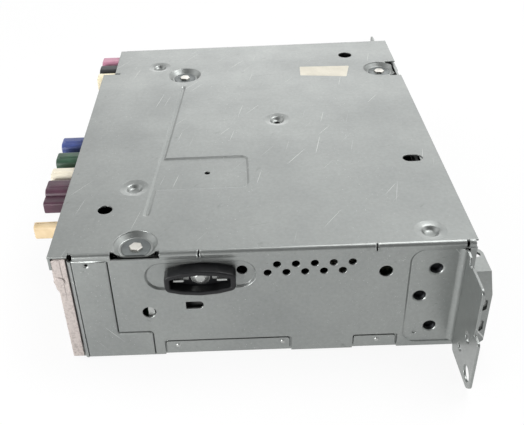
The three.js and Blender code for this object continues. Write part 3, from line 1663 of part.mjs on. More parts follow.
[["roller_sleeve_right", 1], ["roller_sleeve_left", -1]].forEach(([name, side]) => {
  const bore = roller.shaft + running;
  const sleeve = turned(
    [
      [bore, roller.gap],
      [roller.middle, roller.gap],
      [roller.end, roller.half],
      [bore, roller.half],
      [bore, roller.gap],
    ],
    14,
    "x",
  );
  const solid = side > 0 ? sleeve : sleeve.mirror([1, 0, 0]);
  place(name, solid, blackRubber, radio, 0, rollerY, rollerRestZ);
});

// Shift slider on the frame's two headed pins.
function shiftSlider() {
  const y0 = -slider.front;
  const low = frameHalf + seat;
  const high = low + thinSheet;
  const middle = sliderLow + slider.height / 2;
  const plate = slab(
    rounded(y0 + slider.length / 2, middle, slider.length, slider.height, slider.corner, 2),
    "x",
    low,
    high,
  );
  const slots = sliderPins().map(([y, z]) =>
    track("x", [[y - slider.travel, z], [y, z]], sliderSlot.width, low - over, high + over),
  );
  const camY = y0 + camSlot.inset;
  const cam = track(
    "x",
    [
      [camY, middle - camSlot.rise / 2],
      [camY + slider.travel, middle + camSlot.rise / 2],
      [camY + 2 * slider.travel, middle + camSlot.rise / 2],
    ],
    camSlot.width,
    low - over,
    high + over,
  );
  return cut(plate, ...slots, cam);
}

place("shift_slider", shiftSlider(), zincSteel);

export default radio;
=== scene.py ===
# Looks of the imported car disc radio, laid out as an add-on and run as a script in Blender 4.5.
# Shapes are worked out in millimetres, and a piece becomes metres when it is made.

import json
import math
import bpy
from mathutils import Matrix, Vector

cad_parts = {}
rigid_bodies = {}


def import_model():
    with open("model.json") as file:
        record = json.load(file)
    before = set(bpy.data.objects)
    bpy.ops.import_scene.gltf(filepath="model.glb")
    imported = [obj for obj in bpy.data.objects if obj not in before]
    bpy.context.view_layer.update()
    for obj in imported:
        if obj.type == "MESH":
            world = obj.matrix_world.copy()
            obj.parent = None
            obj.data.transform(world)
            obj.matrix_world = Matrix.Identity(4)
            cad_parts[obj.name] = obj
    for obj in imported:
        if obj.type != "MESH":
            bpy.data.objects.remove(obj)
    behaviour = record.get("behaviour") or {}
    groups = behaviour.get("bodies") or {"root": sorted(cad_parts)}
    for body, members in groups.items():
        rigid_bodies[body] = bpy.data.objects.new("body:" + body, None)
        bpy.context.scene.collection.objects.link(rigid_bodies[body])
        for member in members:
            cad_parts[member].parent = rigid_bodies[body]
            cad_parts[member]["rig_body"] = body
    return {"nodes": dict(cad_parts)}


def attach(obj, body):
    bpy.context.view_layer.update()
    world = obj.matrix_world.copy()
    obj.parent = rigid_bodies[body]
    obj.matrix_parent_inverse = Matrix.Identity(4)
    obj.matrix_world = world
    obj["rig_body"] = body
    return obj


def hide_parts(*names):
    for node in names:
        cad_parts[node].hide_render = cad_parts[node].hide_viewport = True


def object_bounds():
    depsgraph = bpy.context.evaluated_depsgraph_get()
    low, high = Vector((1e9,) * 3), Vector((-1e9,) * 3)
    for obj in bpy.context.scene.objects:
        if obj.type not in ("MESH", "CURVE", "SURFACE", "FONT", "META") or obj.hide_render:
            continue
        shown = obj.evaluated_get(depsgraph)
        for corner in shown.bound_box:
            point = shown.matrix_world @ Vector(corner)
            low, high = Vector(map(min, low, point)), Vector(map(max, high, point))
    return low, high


bl_info = {
    "name": "Car disc radio",
    "version": (1, 0, 0),
    "blender": (4, 5, 0),
    "location": "3D Viewport > Sidebar > Radio",
    "description": "Dresses the packed car disc radio in sheet metal, castings, rubber and plastics",
    "category": "Object",
}

import bmesh
import bpy
from mathutils import Matrix, Vector
from mathutils.geometry import tessellate_polygon

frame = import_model()
cad_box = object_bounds()

MM = 0.001
EAR_REACH = 24.3  # how far an ear stands out from the case's side
HALF_WIDTH = round(cad_box[1][0] / MM, 1) - EAR_REACH
HEIGHT = round(cad_box[1][2] / MM, 1)
BEND = 1.6  # outer radius of the sheet's folds


# Settings that a user would change.


def length_setting(name, description, size_mm):
    return bpy.props.FloatProperty(name=name, description=description, default=size_mm * MM, unit="LENGTH")


def colour_setting(name, description, hex_value):
    return bpy.props.StringProperty(name=name, description=description, default=hex_value)


class RadioSizes(bpy.types.PropertyGroup):
    sheet: length_setting("Sheet", "Thickness of the case's sheet", 0.8)
    rim: length_setting("Rim", "Rounding of the sheet's cut edges", 0.22)
    lip: length_setting("Lip", "Rounding where a pressing starts", 0.7)
    screw: length_setting("Screw", "Radius of a screw's six-sided head", 2.55)
    washer: length_setting("Flange", "Radius of the flange under a screw's head", 5.3)


class RadioColours(bpy.types.PropertyGroup):
    zinc: colour_setting("Zinc", "Plated sheet steel", "8E918F")
    casting: colour_setting("Casting", "Die-cast rear wall", "B4ABA6")
    rubber: colour_setting("Rubber", "Buffer, rollers and dampers", "101113")
    housing: colour_setting("Black plastic", "Plug socket and guides", "232426")
    label: colour_setting("Label", "Blank paper label on the lid", "CFCABC")


# Materials.


def linear(hex_value):
    """A hex colour as Blender's linear colour."""
    parts = [int(hex_value[i : i + 2], 16) / 255 for i in (0, 2, 4)]
    return [p / 12.92 if p <= 0.04045 else ((p + 0.055) / 1.055) ** 2.4 for p in parts] + [1.0]


def add_node(tree, kind, inputs=None, **settings):
    """A node with its settings, and its inputs set or linked."""
    made = tree.nodes.new(kind)
    for name, value in settings.items():
        setattr(made, name, value)
    for name, value in (inputs or {}).items():
        socket = made.inputs[name]
        if isinstance(value, bpy.types.NodeSocket):
            tree.links.new(value, socket)
        else:
            socket.default_value = value
    return made


def calculated(tree, operation, first, second):
    return add_node(tree, "ShaderNodeMath", {0: first, 1: second}, operation=operation).outputs[0]


def new_material(name):
    """A material and its empty node tree."""
    material = bpy.data.materials.new(name)
    material.use_nodes = True
    material.node_tree.nodes.clear()
    return material, material.node_tree


def pattern(tree, size_mm, detail, roughness, stretch=(1, 1, 1), turn=(0, 0, 0)):
    """Noise whose features are size_mm wide, drawn out along the axes by stretch."""
    where = add_node(tree, "ShaderNodeTexCoord").outputs["Object"]
    scale = [size_mm * MM * s for s in stretch]
    inputs = {"Vector": where, "Rotation": turn, "Scale": scale}
    mapped = add_node(tree, "ShaderNodeMapping", inputs, vector_type="TEXTURE")
    inputs = {"Vector": mapped.outputs[0], "Scale": 1.0, "Detail": detail, "Roughness": roughness}
    return add_node(tree, "ShaderNodeTexNoise", inputs).outputs["Fac"]


def spread(tree, value, low, high, to_low, to_high):
    """Moves the range from low to high to another range, and keeps the value within it."""
    inputs = {"Value": value, "From Min": low, "From Max": high, "To Min": to_low, "To Max": to_high}
    return add_node(tree, "ShaderNodeMapRange", inputs).outputs["Result"]


def blended(tree, factor, first, second, blend="MIX"):
    """Two colours mixed by a factor; a hex text is a colour."""
    ends = [linear(c) if isinstance(c, str) else c for c in (first, second)]
    # A mix node has its colours at inputs 6 and 7 and at output 2.
    inputs = {0: factor, 6: ends[0], 7: ends[1]}
    return add_node(tree, "ShaderNodeMix", inputs, data_type="RGBA", blend_type=blend).outputs[2]


def dented(tree, height, depth_mm, strength, under=None):
    """A normal that follows a height, over another normal if one is given."""
    inputs = {"Height": height, "Distance": depth_mm * MM, "Strength": strength}
    if under is not None:
        inputs["Normal"] = under
    return add_node(tree, "ShaderNodeBump", inputs).outputs["Normal"]


def close_surface(material, **inputs):
    """Ends a material in one principled shader."""
    tree = material.node_tree
    named = {key.replace("_", " "): value for key, value in inputs.items()}
    shader = add_node(tree, "ShaderNodeBsdfPrincipled", named)
    add_node(tree, "ShaderNodeOutputMaterial", {"Surface": shader.outputs[0]})
    return material


# Families of hairline scratches: how each is turned, and its colour. Two cross the lid, one runs down the
# sides and a dark one lies along the lid.
HAIRLINES = (
    ((0, 0, 1.35), "D2D4D2"),
    ((0, 0, 0.95), "D2D4D2"),
    ((0.9, 0, 0), "D2D4D2"),
    ((0, 0, 0.2), "6E7270"),
)


def zinc_plated_steel(name, light, dark, smudge=1.0):
    """Rolled sheet with a thin satin zinc coat: hardly seen rolling lines along Y, cloudy patches where
    hands and oil dulled it, short dark rub marks, and bright hairline scratches."""
    material, tree = new_material(name)
    cloud = pattern(tree, 34, 4, 0.6)
    fleck = pattern(tree, 1.4, 2, 0.6)
    # Real rolling lines are about 0.05 mm apart, and are drawn at 0.3 mm so that they show.
    rolled = pattern(tree, 0.3, 2, 0.5, (1, 60, 1))
    tone = blended(tree, spread(tree, cloud, 0.3, 0.72, 0, 0.7 * smudge), light, dark)
    tone = blended(tree, spread(tree, fleck, 0.3, 0.7, 0.0, 0.1), tone, "FFFFFF", "OVERLAY")
    rubs = spread(tree, pattern(tree, 5, 3, 0.7, (1, 2.2, 1), (0, 0, 0.9)), 0.66, 0.78, 0, 0.55 * smudge)
    tone = blended(tree, rubs, tone, "6B6E6C")
    for turn, colour in HAIRLINES:
        line = pattern(tree, 0.34, 0, 0.4, (1, 90, 1), turn)
        tone = blended(tree, spread(tree, line, 0.835, 0.87, 0, 0.65), tone, colour)
    rough = spread(tree, calculated(tree, "ADD", cloud, rolled), 0.7, 1.3, 0.3, 0.42)
    normal = dented(tree, rolled, 0.01, 0.4)
    normal = dented(tree, pattern(tree, 18, 2, 0.5), 0.3, 0.3, normal)
    return close_surface(material, Base_Color=tone, Metallic=0.78, Roughness=rough, Normal=normal)


def cast_zinc_alloy(name, colour):
    """Die-cast alloy, left as it came from the mould: dull, pinkish grey, with a pebbled skin."""
    material, tree = new_material(name)
    cloud = pattern(tree, 16, 3, 0.6)
    pebble = pattern(tree, 0.9, 3, 0.6)
    tone = blended(tree, spread(tree, cloud, 0.35, 0.65, 0, 0.6), colour, "A09895")
    # The pebbles' low spots, the hollows of the bump, are darkened towards 6B6562: painted shade in the pits.
    tone = blended(tree, spread(tree, pebble, 0.32, 0.55, 0.45, 0), tone, "6B6562")
    rough = spread(tree, pebble, 0.3, 0.7, 0.62, 0.45)
    normal = dented(tree, pebble, 0.16, 0.7)
    return close_surface(material, Base_Color=tone, Metallic=0.35, Roughness=rough, Normal=normal)


def drawn_metal(name, light, dark, roughness, metallic=1.0):
    """Turned, drawn or tinned metal: bright, with fine tool lines and slight tarnish."""
    material, tree = new_material(name)
    cloud = pattern(tree, 7, 3, 0.55)
    lines = pattern(tree, 0.4, 2, 0.5)
    tone = blended(tree, spread(tree, cloud, 0.35, 0.68, 0, 1), light, dark)
    rough = spread(tree, cloud, 0.3, 0.7, roughness * 0.8, roughness * 1.25)
    normal = dented(tree, lines, 0.01, 0.5)
    return close_surface(material, Base_Color=tone, Metallic=metallic, Roughness=rough, Normal=normal)


def moulded(name, light, dark, roughness, grain_mm=0.5, depth_mm=0.02, ior=1.5):
    """Injection-moulded plastic or pressed rubber: a fine even grain, and slight flow marks in the tone."""
    material, tree = new_material(name)
    cloud = pattern(tree, 6, 3, 0.6)
    grain = pattern(tree, grain_mm, 2, 0.5)
    tone = blended(tree, spread(tree, cloud, 0.35, 0.68, 0, 1), light, dark)
    rough = spread(tree, grain, 0.3, 0.7, roughness - 0.06, roughness + 0.06)
    normal = dented(tree, grain, depth_mm, 0.6)
    return close_surface(material, Base_Color=tone, Roughness=rough, IOR=ior, Normal=normal)


def circuit_board(name):
    """Glass-fibre board under a green mask, with copper tracks showing through as paler lines."""
    material, tree = new_material(name)
    where = add_node(tree, "ShaderNodeTexCoord").outputs["Object"]
    mapped = add_node(tree, "ShaderNodeMapping", {"Vector": where, "Scale": (260, 260, 260)})
    inputs = {"Vector": mapped.outputs[0], "Scale": 1.0, "Randomness": 0.55}
    cells = add_node(tree, "ShaderNodeTexVoronoi", inputs, distance="CHEBYCHEV", feature="F1")
    tracks = spread(tree, cells.outputs["Distance"], 0.36, 0.39, 0, 1)
    tone = blended(tree, tracks, "1F4A2C", "2F6A3E")
    return close_surface(material, Base_Color=tone, Roughness=0.35, Normal=dented(tree, tracks, 0.04, 0.8))


finishes = {}

# Coded plastics: light and dark tone, and roughness.
CODED = {
    "ivory": ("E6DCC0", "D5C9A8", 0.42),
    "blue": ("3E4C86", "34406F", 0.42),
    "green": ("31523E", "274031", 0.42),
    "cream": ("E0D9C8", "D2CAB6", 0.42),
    "bordeaux": ("4B2D3C", "3D2431", 0.4),
    "beige": ("C9B592", "B9A37E", 0.42),
    "pink": ("BC8298", "A06A7E", 0.42),
}


def make_finishes(colours):
    finishes["zinc"] = zinc_plated_steel("zinc_plated_steel", colours.zinc, "7E8180")
    finishes["inner_zinc"] = zinc_plated_steel("zinc_plated_steel_inner", "A6A8A6", "949694", 0.5)
    finishes["casting"] = cast_zinc_alloy("cast_zinc_alloy", colours.casting)
    finishes["bright"] = drawn_metal("drawn_steel", "C2C4C6", "A8AAAC", 0.26)
    finishes["screw"] = drawn_metal("plated_screw_steel", "D4D2CC", "B4B2AC", 0.32)
    finishes["washer"] = drawn_metal("dull_flange_steel", "767A7A", "5C6060", 0.4)
    # Near-black steel for the pad inserts: painted shade that darkens the depths of the pad holes.
    finishes["thread_shade_dark"] = drawn_metal("dark_thread_steel_painted_shade", "2A2C2E", "191A1C", 0.45, 0.8)
    finishes["tin"] = drawn_metal("tinned_sheet", "C0C2C0", "A9ABA8", 0.34, 0.9)
    finishes["brass"] = drawn_metal("machined_brass", "B99A5C", "9C7F44", 0.3)
    finishes["board"] = circuit_board("green_circuit_board")
    finishes["black"] = moulded("black_polyester_plastic", colours.housing, "17181A", 0.5)
    finishes["rubber"] = moulded("nitrile_rubber", colours.rubber, "0A0A0C", 0.45, 0.7, 0.04, 1.36)
    finishes["acetal"] = moulded("natural_acetal", "DEDCD2", "CBC9BE", 0.42, 0.8, 0.01, 1.48)
    finishes["label"] = moulded("label_paper", colours.label, "C2BDAF", 0.7, 0.25, 0.02)
    finishes["sleeve"] = moulded("black_capacitor_sleeve", "2A2B30", "1E1F24", 0.3, 1.2, 0.01)
    for name, look in CODED.items():
        finishes[name] = moulded(name + "_polyester_plastic", *look)


# Outlines in millimetres.


def arc(cx, cy, radius, start, end, steps):
    """Points round a centre between two angles in degrees."""
    angles = [math.radians(start + (end - start) * i / steps) for i in range(steps + 1)]
    return [(cx + radius * math.cos(a), cy + radius * math.sin(a)) for a in angles]


def circle(cx, cy, radius, steps=32):
    """A closed outline; its last point doesn't repeat the first."""
    return arc(cx, cy, radius, 0, 360, steps)[:-1]


def filleted(corners, steps=5):
    """An outline from corners (x, y, radius), each corner rounded by its radius."""
    points = []
    for i, (x, y, radius) in enumerate(corners):
        here = Vector((x, y))
        if radius <= 0:
            points.append((x, y))
            continue
        back = (Vector(corners[i - 1][:2]) - here).normalized()
        ahead = (Vector(corners[(i + 1) % len(corners)][:2]) - here).normalized()
        half = math.acos(max(-1.0, min(1.0, back.dot(ahead)))) / 2
        reach = radius / math.tan(half)
        centre = here + (back + ahead).normalized() * radius / math.sin(half)
        first = here + back * reach - centre
        last = here + ahead * reach - centre
        turn = math.atan2(first.x * last.y - first.y * last.x, first.dot(last))
        start = math.atan2(first.y, first.x)
        angles = [start + turn * k / steps for k in range(steps + 1)]
        points += [(centre.x + radius * math.cos(a), centre.y + radius * math.sin(a)) for a in angles]
    return points


def rectangle(x0, x1, y0, y1, radius=0.0, steps=5):
    return filleted([(x0, y0, radius), (x1, y0, radius), (x1, y1, radius), (x0, y1, radius)], steps)


def wound(points, counterclockwise):
    """The outline, turned round where it doesn't run the way that is asked for."""
    area = sum(points[i - 1][0] * p[1] - p[0] * points[i - 1][1] for i, p in enumerate(points))
    return points if (area > 0) == counterclockwise else points[::-1]


def inset(points, distance):
    """A closed outline moved to its left side, with mitred corners."""
    moved = []
    for i, here in enumerate(points):
        before, after = points[i - 1], points[(i + 1) % len(points)]
        a = Vector((before[1] - here[1], here[0] - before[0])).normalized()
        b = Vector((here[1] - after[1], after[0] - here[0])).normalized()
        step = (a + b) * (distance / max(0.3, 1 + a.dot(b)))
        moved.append((here[0] + step.x, here[1] + step.y))
    return moved


# Where an outline's u, v and the height w over it lie in the radio.


def on_lid(u, v, w):
    return Vector((u, v, HEIGHT + w))


def on_left(u, v, w):
    return Vector((-HALF_WIDTH - w, u, v))


def on_right(u, v, w):
    return Vector((HALF_WIDTH + w, u, v))


def across(u, v, w):
    """Outline in x and z, height towards the rear."""
    return Vector((u, w, v))


def upright(u, v, w):
    return Vector((u, v, w))


def along_x(u, v, w):
    return Vector((w, u, v))


# Solids in a bmesh, in millimetres.


def ring(work, place, points, w):
    """Vertices along an outline at the height w."""
    return [work.verts.new(place(u, v, w)) for u, v in points]


def band(work, lower, upper):
    """Faces between two rings."""
    count = len(lower)
    for i in range(count):
        j = (i + 1) % count
        work.faces.new((lower[i], lower[j], upper[j], upper[i])).smooth = True


def cap(work, rings):
    """A flat face inside the first ring, with the others as its holes."""
    corners = [v for loop in rings for v in loop]
    for triangle in tessellate_polygon([[v.co for v in loop] for loop in rings]):
        work.faces.new([corners[i] for i in triangle]).smooth = True


def plate(work, place, outer, holes=(), thick=1.0, edge=0.22, top=0.0, steps=3):
    """A sheet with rounded rims. Each hole is an outline, or an outline and its own rounding."""
    contours = [(wound(outer, True), edge)]
    for hole in holes:
        points, rounding = hole if isinstance(hole, tuple) else (hole, edge)
        contours.append((wound(points, False), rounding))
    faces = ([], [])
    for points, rounding in contours:
        rings = []
        for radius, face_w, sign in ((rounding, top, -1), (min(rounding, 0.2), top - thick, 1)):
            side = []
            for k in range(steps + 1):
                turn = math.pi / 2 * k / steps
                w = face_w + sign * radius * (1 - math.cos(turn))
                side.append(ring(work, place, inset(points, radius * (1 - math.sin(turn))), w))
            rings.append(side)
        loops = rings[0] + rings[1][::-1]
        for lower, upper in zip(loops, loops[1:]):
            band(work, lower, upper)
        faces[0].append(loops[0])
        faces[1].append(loops[-1])
    for loops in faces:
        cap(work, loops)


def turned(work, place, cx, cy, profile, steps=48):
    """A revolved solid from (radius, height) pairs that start and end on the axis, or close on themselves."""
    rings = []
    for radius, w in profile:
        if radius < 1e-6:
            rings.append([work.verts.new(place(cx, cy, w))])
        else:
            rings.append(ring(work, place, circle(cx, cy, radius, steps), w))
    pairs = list(zip(rings, rings[1:]))
    if len(rings[0]) > 1:
        pairs.append((rings[-1], rings[0]))
    for lower, upper in pairs:
        if len(lower) > 1 and len(upper) > 1:
            band(work, lower, upper)
            continue
        tip, base = (lower[0], upper) if len(lower) == 1 else (upper[0], lower)
        for i in range(len(base)):
            work.faces.new((tip, base[i], base[(i + 1) % len(base)])).smooth = True


def mesh_of(work, name):
    """A bmesh as a mesh, in the same units. The bmesh is freed."""
    mesh = bpy.data.meshes.new(name)
    work.to_mesh(mesh)
    work.free()
    return mesh


def new_object(name, data):
    """An object that is part of the scene."""
    made = bpy.data.objects.new(name, data)
    bpy.context.scene.collection.objects.link(made)
    return made


def clipped(work, build, point, normal):
    """Builds a solid, cuts off what lies beyond a plane and closes it, then adds it to the rest."""
    part = bmesh.new()
    build(part)
    geometry = part.verts[:] + part.edges[:] + part.faces[:]
    made = bmesh.ops.bisect_plane(part, geom=geometry, plane_co=point, plane_no=normal, clear_outer=True)
    edges = [e for e in made["geom_cut"] if isinstance(e, bmesh.types.BMEdge)]
    bmesh.ops.holes_fill(part, edges=edges, sides=0)
    mesh = mesh_of(part, "part")
    work.from_mesh(mesh)
    bpy.data.meshes.remove(mesh)


def face_outwards(work):
    """Turns the faces of every closed shell outwards, by the sign of the shell's volume."""
    work.normal_update()
    bmesh.ops.recalc_face_normals(work, faces=work.faces)
    left = set(work.faces)
    while left:
        reach, shell = [left.pop()], []
        while reach:
            face = reach.pop()
            shell.append(face)
            near = {other for edge in face.edges for other in edge.link_faces} & left
            left -= near
            reach += near
        if sum(f.calc_center_median().dot(f.normal) * f.calc_area() for f in shell) < 0:
            bmesh.ops.reverse_faces(work, faces=shell)


def finished_mesh(name, work):
    """A bmesh in millimetres as a mesh in metres."""
    face_outwards(work)
    bmesh.ops.scale(work, vec=(MM, MM, MM), verts=work.verts)
    return mesh_of(work, name)


def piece(name, work, finish, body="chassis", stands_for=()):
    """Makes a bmesh in millimetres an object that rides on a body."""
    mesh = finished_mesh(name, work)
    mesh.set_sharp_from_angle(angle=math.radians(38))
    settle(new_object(name, mesh), finish, body, stands_for)


def settle(made, finish, body, stands_for):
    """Gives an object its finish and shading and its body, and hides the nodes that it stands for."""
    made.data.materials.clear()
    made.data.materials.append(finishes[finish])
    weighted = made.modifiers.new("even_shading", "WEIGHTED_NORMAL")
    weighted.keep_sharp = True
    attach(made, body)
    if stands_for:
        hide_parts(*stands_for)


def refine(node, finish, edge, angle, adjust=None):
    """A copy of a CAD node with its flat faces joined and its edges rounded, in the node's place."""
    source = frame["nodes"][node]
    work = bmesh.new()
    work.from_mesh(source.data)
    bmesh.ops.remove_doubles(work, verts=work.verts, dist=1e-6)
    bmesh.ops.dissolve_limit(work, angle_limit=math.radians(0.6), verts=work.verts, edges=work.edges)
    if adjust:
        adjust(work)
    for face in work.faces:
        face.smooth = True
    mesh = mesh_of(work, node + "_fine")
    mesh.set_sharp_from_angle(angle=math.radians(50))
    made = new_object(node + "_fine", mesh)
    rounding = made.modifiers.new("edges", "BEVEL")
    rounding.width = edge * MM
    rounding.segments = 2
    rounding.limit_method = "ANGLE"
    rounding.angle_limit = math.radians(angle)
    settle(made, finish, source["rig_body"], (node,))


# The folded cover. Places repeat the CAD part's: x and y on the lid, y and z on the sides.

SKIN = 0.006  # how far a buried end lies under the face that it continues
EDGE_SCREW = (-84.06, 44.55)
RIGHT_SCREW = (54.54, 33.0)
FRONT_SCREW = (53.46, -65.55)
SCREW_MOUTH, SCREW_DEPTH = 7.8, 2.0
# Two screws sit so near the lid's edges that a plane, by a point and its direction, cuts them off.
SCREW_CUTS = (
    (EDGE_SCREW, ((-88.2, 0, 0), (-1, 0, 0))),
    (FRONT_SCREW, ((0, -72.4, 0), (0, -1, 0))),
)
EDGE_NOTCH = (35.9, 53.1)  # in y, where the bend is left out beside the edge screw
FRONT_NOTCH = (45.2, 61.7)  # in x, where the lid is left out before the front screw
SMALL_DIMPLES = [(-82.44, -59.85), (-48.06, 48.45), (65.52, 46.5)]
HOLED_DIMPLE = (3.78, -10.8)
LID_FRONT, LID_REAR = -75, 75
LID_HOLES = [(-62.28, 58.2, 2.8), (71.82, -50.7, 3.4)]
LID_SLOT = (-36.0, -31.0, -67.9, -59.9, 2.49)
PANEL_HOLE = (-38.16, 19.95, 1.1)
LABEL = [(59.3, -25.8, 0.6), (58.1, -50.9, 0.6), (45.8, -48.0, 0.6), (49.0, -25.3, 0.6)]
VENTS = [(-28.4 + i * 6.65, 39.2) for i in range(5)] + [(-31.725 + i * 6.65, 42.85) for i in range(5)]
SIDE_HOLES = [(-43.8, 38, 2.4), (41.9, 22.3, 2.5)]
WINDOW = [(21.8, 23.45, 1.5), (28.2, 23.45, 0.2), (28.2, 26.75, 0.2), (21.8, 26.75, 1.5)]
PAD_HOLES = [(-61.8, 37.9), (-57.0, 25.3), (-62.2, 10.2)]
PAD_MARK = (-56.7, 7.3)
TINY_HOLE = (61.9, 45.6)
SIDE_FOOT, SIDE_TOP = 0.4, 47.4
SIDE_BACK = 0.3  # how far the side lies behind its raised rear corner
FOOT_CUTS = ((-50.4, -33.6, 7.1), (-10.4, 37.6, 7.6))  # cut-outs at the side's foot: y from, y to, z
CORNER_HIGH, CORNER_LOW = 54.5, 41.6  # where the raised rear corner starts in y, above its step and below it
CORNER_STEP = 12.6
RELIEF_CUTS = (22.1, -39.9)  # in y, across the left bend
BUFFER = (22.1, 39.0)
BUFFER_PAD = (19.7, 5.95, 5.9)  # half its length, half its height and its corners' radius
PAD_DEPTH = 0.7
PAD_FOOT, PAD_TOP = 2.9, 46.6
PAD_REAR, PAD_CORNER = -52.5, 5
EAR_FACE = -72.0
EAR_BEND = 2.2


def press_profile(depth, lip, knee, angle):
    """Section of a pressing as (step outwards, height) from its mouth, down to where its floor starts."""
    a = math.radians(angle)
    start = (lip * (1 - math.sin(a)), -lip * (1 - math.cos(a)) - SKIN)
    drop = depth + start[1] - knee * (1 - math.cos(a))
    centre = start[0] - drop / math.tan(a) - knee * math.sin(a)
    turns = [a * (1 - k / 4) for k in range(5)]
    curve = [(centre + knee * math.sin(t), -depth + knee * (1 - math.cos(t))) for t in turns]
    return [(start[0] + 0.25, start[1] - 0.3), start, *curve]


def screw_dish(work, x, y, lip, sheet):
    """The round pressing with a flat floor in which a screw sits."""
    top = [(SCREW_MOUTH + step, w) for step, w in press_profile(SCREW_DEPTH, lip, 0.7, 43)]
    bottom = -SCREW_DEPTH - sheet
    under = [(0, bottom), (top[-1][0], bottom), (SCREW_MOUTH + 0.2, -1.1), (SCREW_MOUTH + 0.5, -0.75)]
    turned(work, on_lid, x, y, [*under, *top, (0, -SCREW_DEPTH)], 64)


def pan(work, place, outline, base, depth, lip, knee, angle, holes, sheet):
    """A pressing with any outline, under a plate's hole of the same outline, and its floor with holes."""
    outer = wound(outline, True)
    section = press_profile(depth, lip, knee, angle)
    floor = section[-1][0]
    loop = [*section, (floor - 0.2, -depth), (floor - 0.2, -depth - sheet), (0.1, -depth - 0.3), (0.5, -0.75)]
    rings = [ring(work, place, inset(outer, -t), base + w) for t, w in loop]
    for lower, upper in zip(rings, [*rings[1:], rings[0]]):
        band(work, lower, upper)
    plate(work, place, inset(outer, -(floor + 0.1)), holes, sheet, 0.2, base - depth - SKIN)


def groove_and_panel():
    """The lid's long groove with the recessed panel that joins it."""
    a, b = Vector((40.5, 33.15)), Vector((-66.24, 42.15))
    half = 1.15
    left, right, low = -50.22, -26.46, 3.3
    along = (b - a).normalized()
    front = Vector((-along.y, along.x)) * half

    def on_front(x):
        return (a + front).y + (x - (a + front).x) * along.y / along.x

    heading = math.degrees(math.atan2(front.y, front.x))
    start = [(*p, 0) for p in arc(*a, half, heading + 180, heading, 8)]
    end = [(*p, 0) for p in arc(*b, half, heading, heading - 180, 8)]
    panel = [(right, on_front(right), 0), (right, low, 3.2), (left, low, 3.2), (left, on_front(left), 0)]
    return filleted([*start, *panel, *end], 6)


def lid_outline(rim):
    """The lid with its two notches for screws, and with its rear end cut back before the right sockets."""
    edge = HALF_WIDTH - BEND + rim
    near, far = EDGE_NOTCH
    left, right = FRONT_NOTCH
    notch = [(-88.0, far), *arc(*EDGE_SCREW, SCREW_MOUTH, 120.4, -120.4, 44), (-88.0, near)]
    front = [(left, -69.7), *arc(*FRONT_SCREW, SCREW_MOUTH, 212.2, -32.2, 44), (right, -69.7)]
    outer = [(-edge, LID_FRONT), (left, LID_FRONT), *front, (right, LID_FRONT), (edge, LID_FRONT)]
    outer += [(edge, 69.0), (88.2, 69.2), (60, 69.2), (60, 66.6), (59, 66.6), (59, LID_REAR)]
    outer += [(-HALF_WIDTH, LID_REAR), (-HALF_WIDTH, 68.1), (-88.2, 68.1)]
    return [*outer, (-88.2, 66.9), (-edge, 66.9), (-edge, far), *notch, (-edge, near)]


def lid_plate(work, rim, lip, sheet):
    """The lid's sheet with its holes, and the pressings in it."""
    groove = groove_and_panel()
    holes = [(circle(*RIGHT_SCREW, SCREW_MOUTH, 64), lip), (groove, 0.3), (filleted(LABEL), 0.04)]
    holes += [(circle(x, y, 5.6, 48), 0.12) for x, y in [*SMALL_DIMPLES, HOLED_DIMPLE]]
    holes += [(circle(x, y, r, 40), rim) for x, y, r in LID_HOLES]
    holes.append((rectangle(*LID_SLOT, 8), rim))
    plate(work, on_lid, lid_outline(rim), holes, sheet, rim)
    pan(work, on_lid, groove, 0, 0.55, 0.3, 0.15, 32, [circle(*PANEL_HOLE, 24)], sheet)
    for (x, y), cut in SCREW_CUTS:
        clipped(work, lambda part: screw_dish(part, x, y, lip, sheet), *cut)
    screw_dish(work, *RIGHT_SCREW, lip, sheet)
    # A small dimple is a shallow saucer with a steep bowl in its middle.
    saucer = [(6.0, -0.5), (5.72, -0.02), (5.3, -0.07), (4.3, -0.2), (3.5, -0.34), (3.15, -0.48)]
    bowl = [(2.9, -0.72), (2.35, -1.4), (2.0, -1.66), (1.5, -1.8)]
    under = [(1.5, -2.5), (3.0, -1.6), (4.4, -0.9), (6.0, -0.75)]
    for x, y in SMALL_DIMPLES:
        turned(work, on_lid, x, y, [(0, -2.6), *under, *saucer, *bowl, (0, -1.85)], 56)
    hole = [(1.45, -1.8), (1.3, -1.9), (1.3, -2.5)]
    turned(work, on_lid, *HOLED_DIMPLE, [*saucer, *bowl, *hole, *under[1:]], 56)


def bend_profile(side, sheet, flare=0.0):
    """The lid's bend in x and z: flat lap, outer arc, fold down that leans in, and back along the inside."""
    x0, z0, foot = HALF_WIDTH - BEND, HEIGHT - BEND, 46.9
    outer = [(x + flare * max(0, (HEIGHT - z) / BEND), z) for x, z in arc(x0, z0, BEND - SKIN, 90, 0, 12)]
    inner = arc(x0, z0, BEND - sheet, 0, 90, 6)
    points = [(x0 - 0.5, HEIGHT - SKIN), *outer, (HALF_WIDTH - SIDE_BACK + 0.02 + flare, foot)]
    points += [(HALF_WIDTH - 1, foot), *inner, (x0 - 0.5, HEIGHT - sheet)]
    return [(side * x, z) for x, z in points]


def side_outline(side):
    """A side with the cut-outs at its foot, and on the left with the dip under the edge screw."""
    outer = [(-90, SIDE_FOOT)]
    for low, high, rise in FOOT_CUTS:
        near = arc(low + 0.8, rise - 0.8, 0.8, 180, 90, 4)
        far = arc(high - 0.8, rise - 0.8, 0.8, 90, 0, 4)
        outer += [(low, SIDE_FOOT), *near, *far, (high, SIDE_FOOT)]
    outer += [(67, SIDE_FOOT), (67, SIDE_TOP)]
    if side < 0:
        outer += [(51.4, SIDE_TOP), (49.8, 47.2), (39.3, 47.2), (37.7, SIDE_TOP)]
    return [*outer, (-90, SIDE_TOP)]


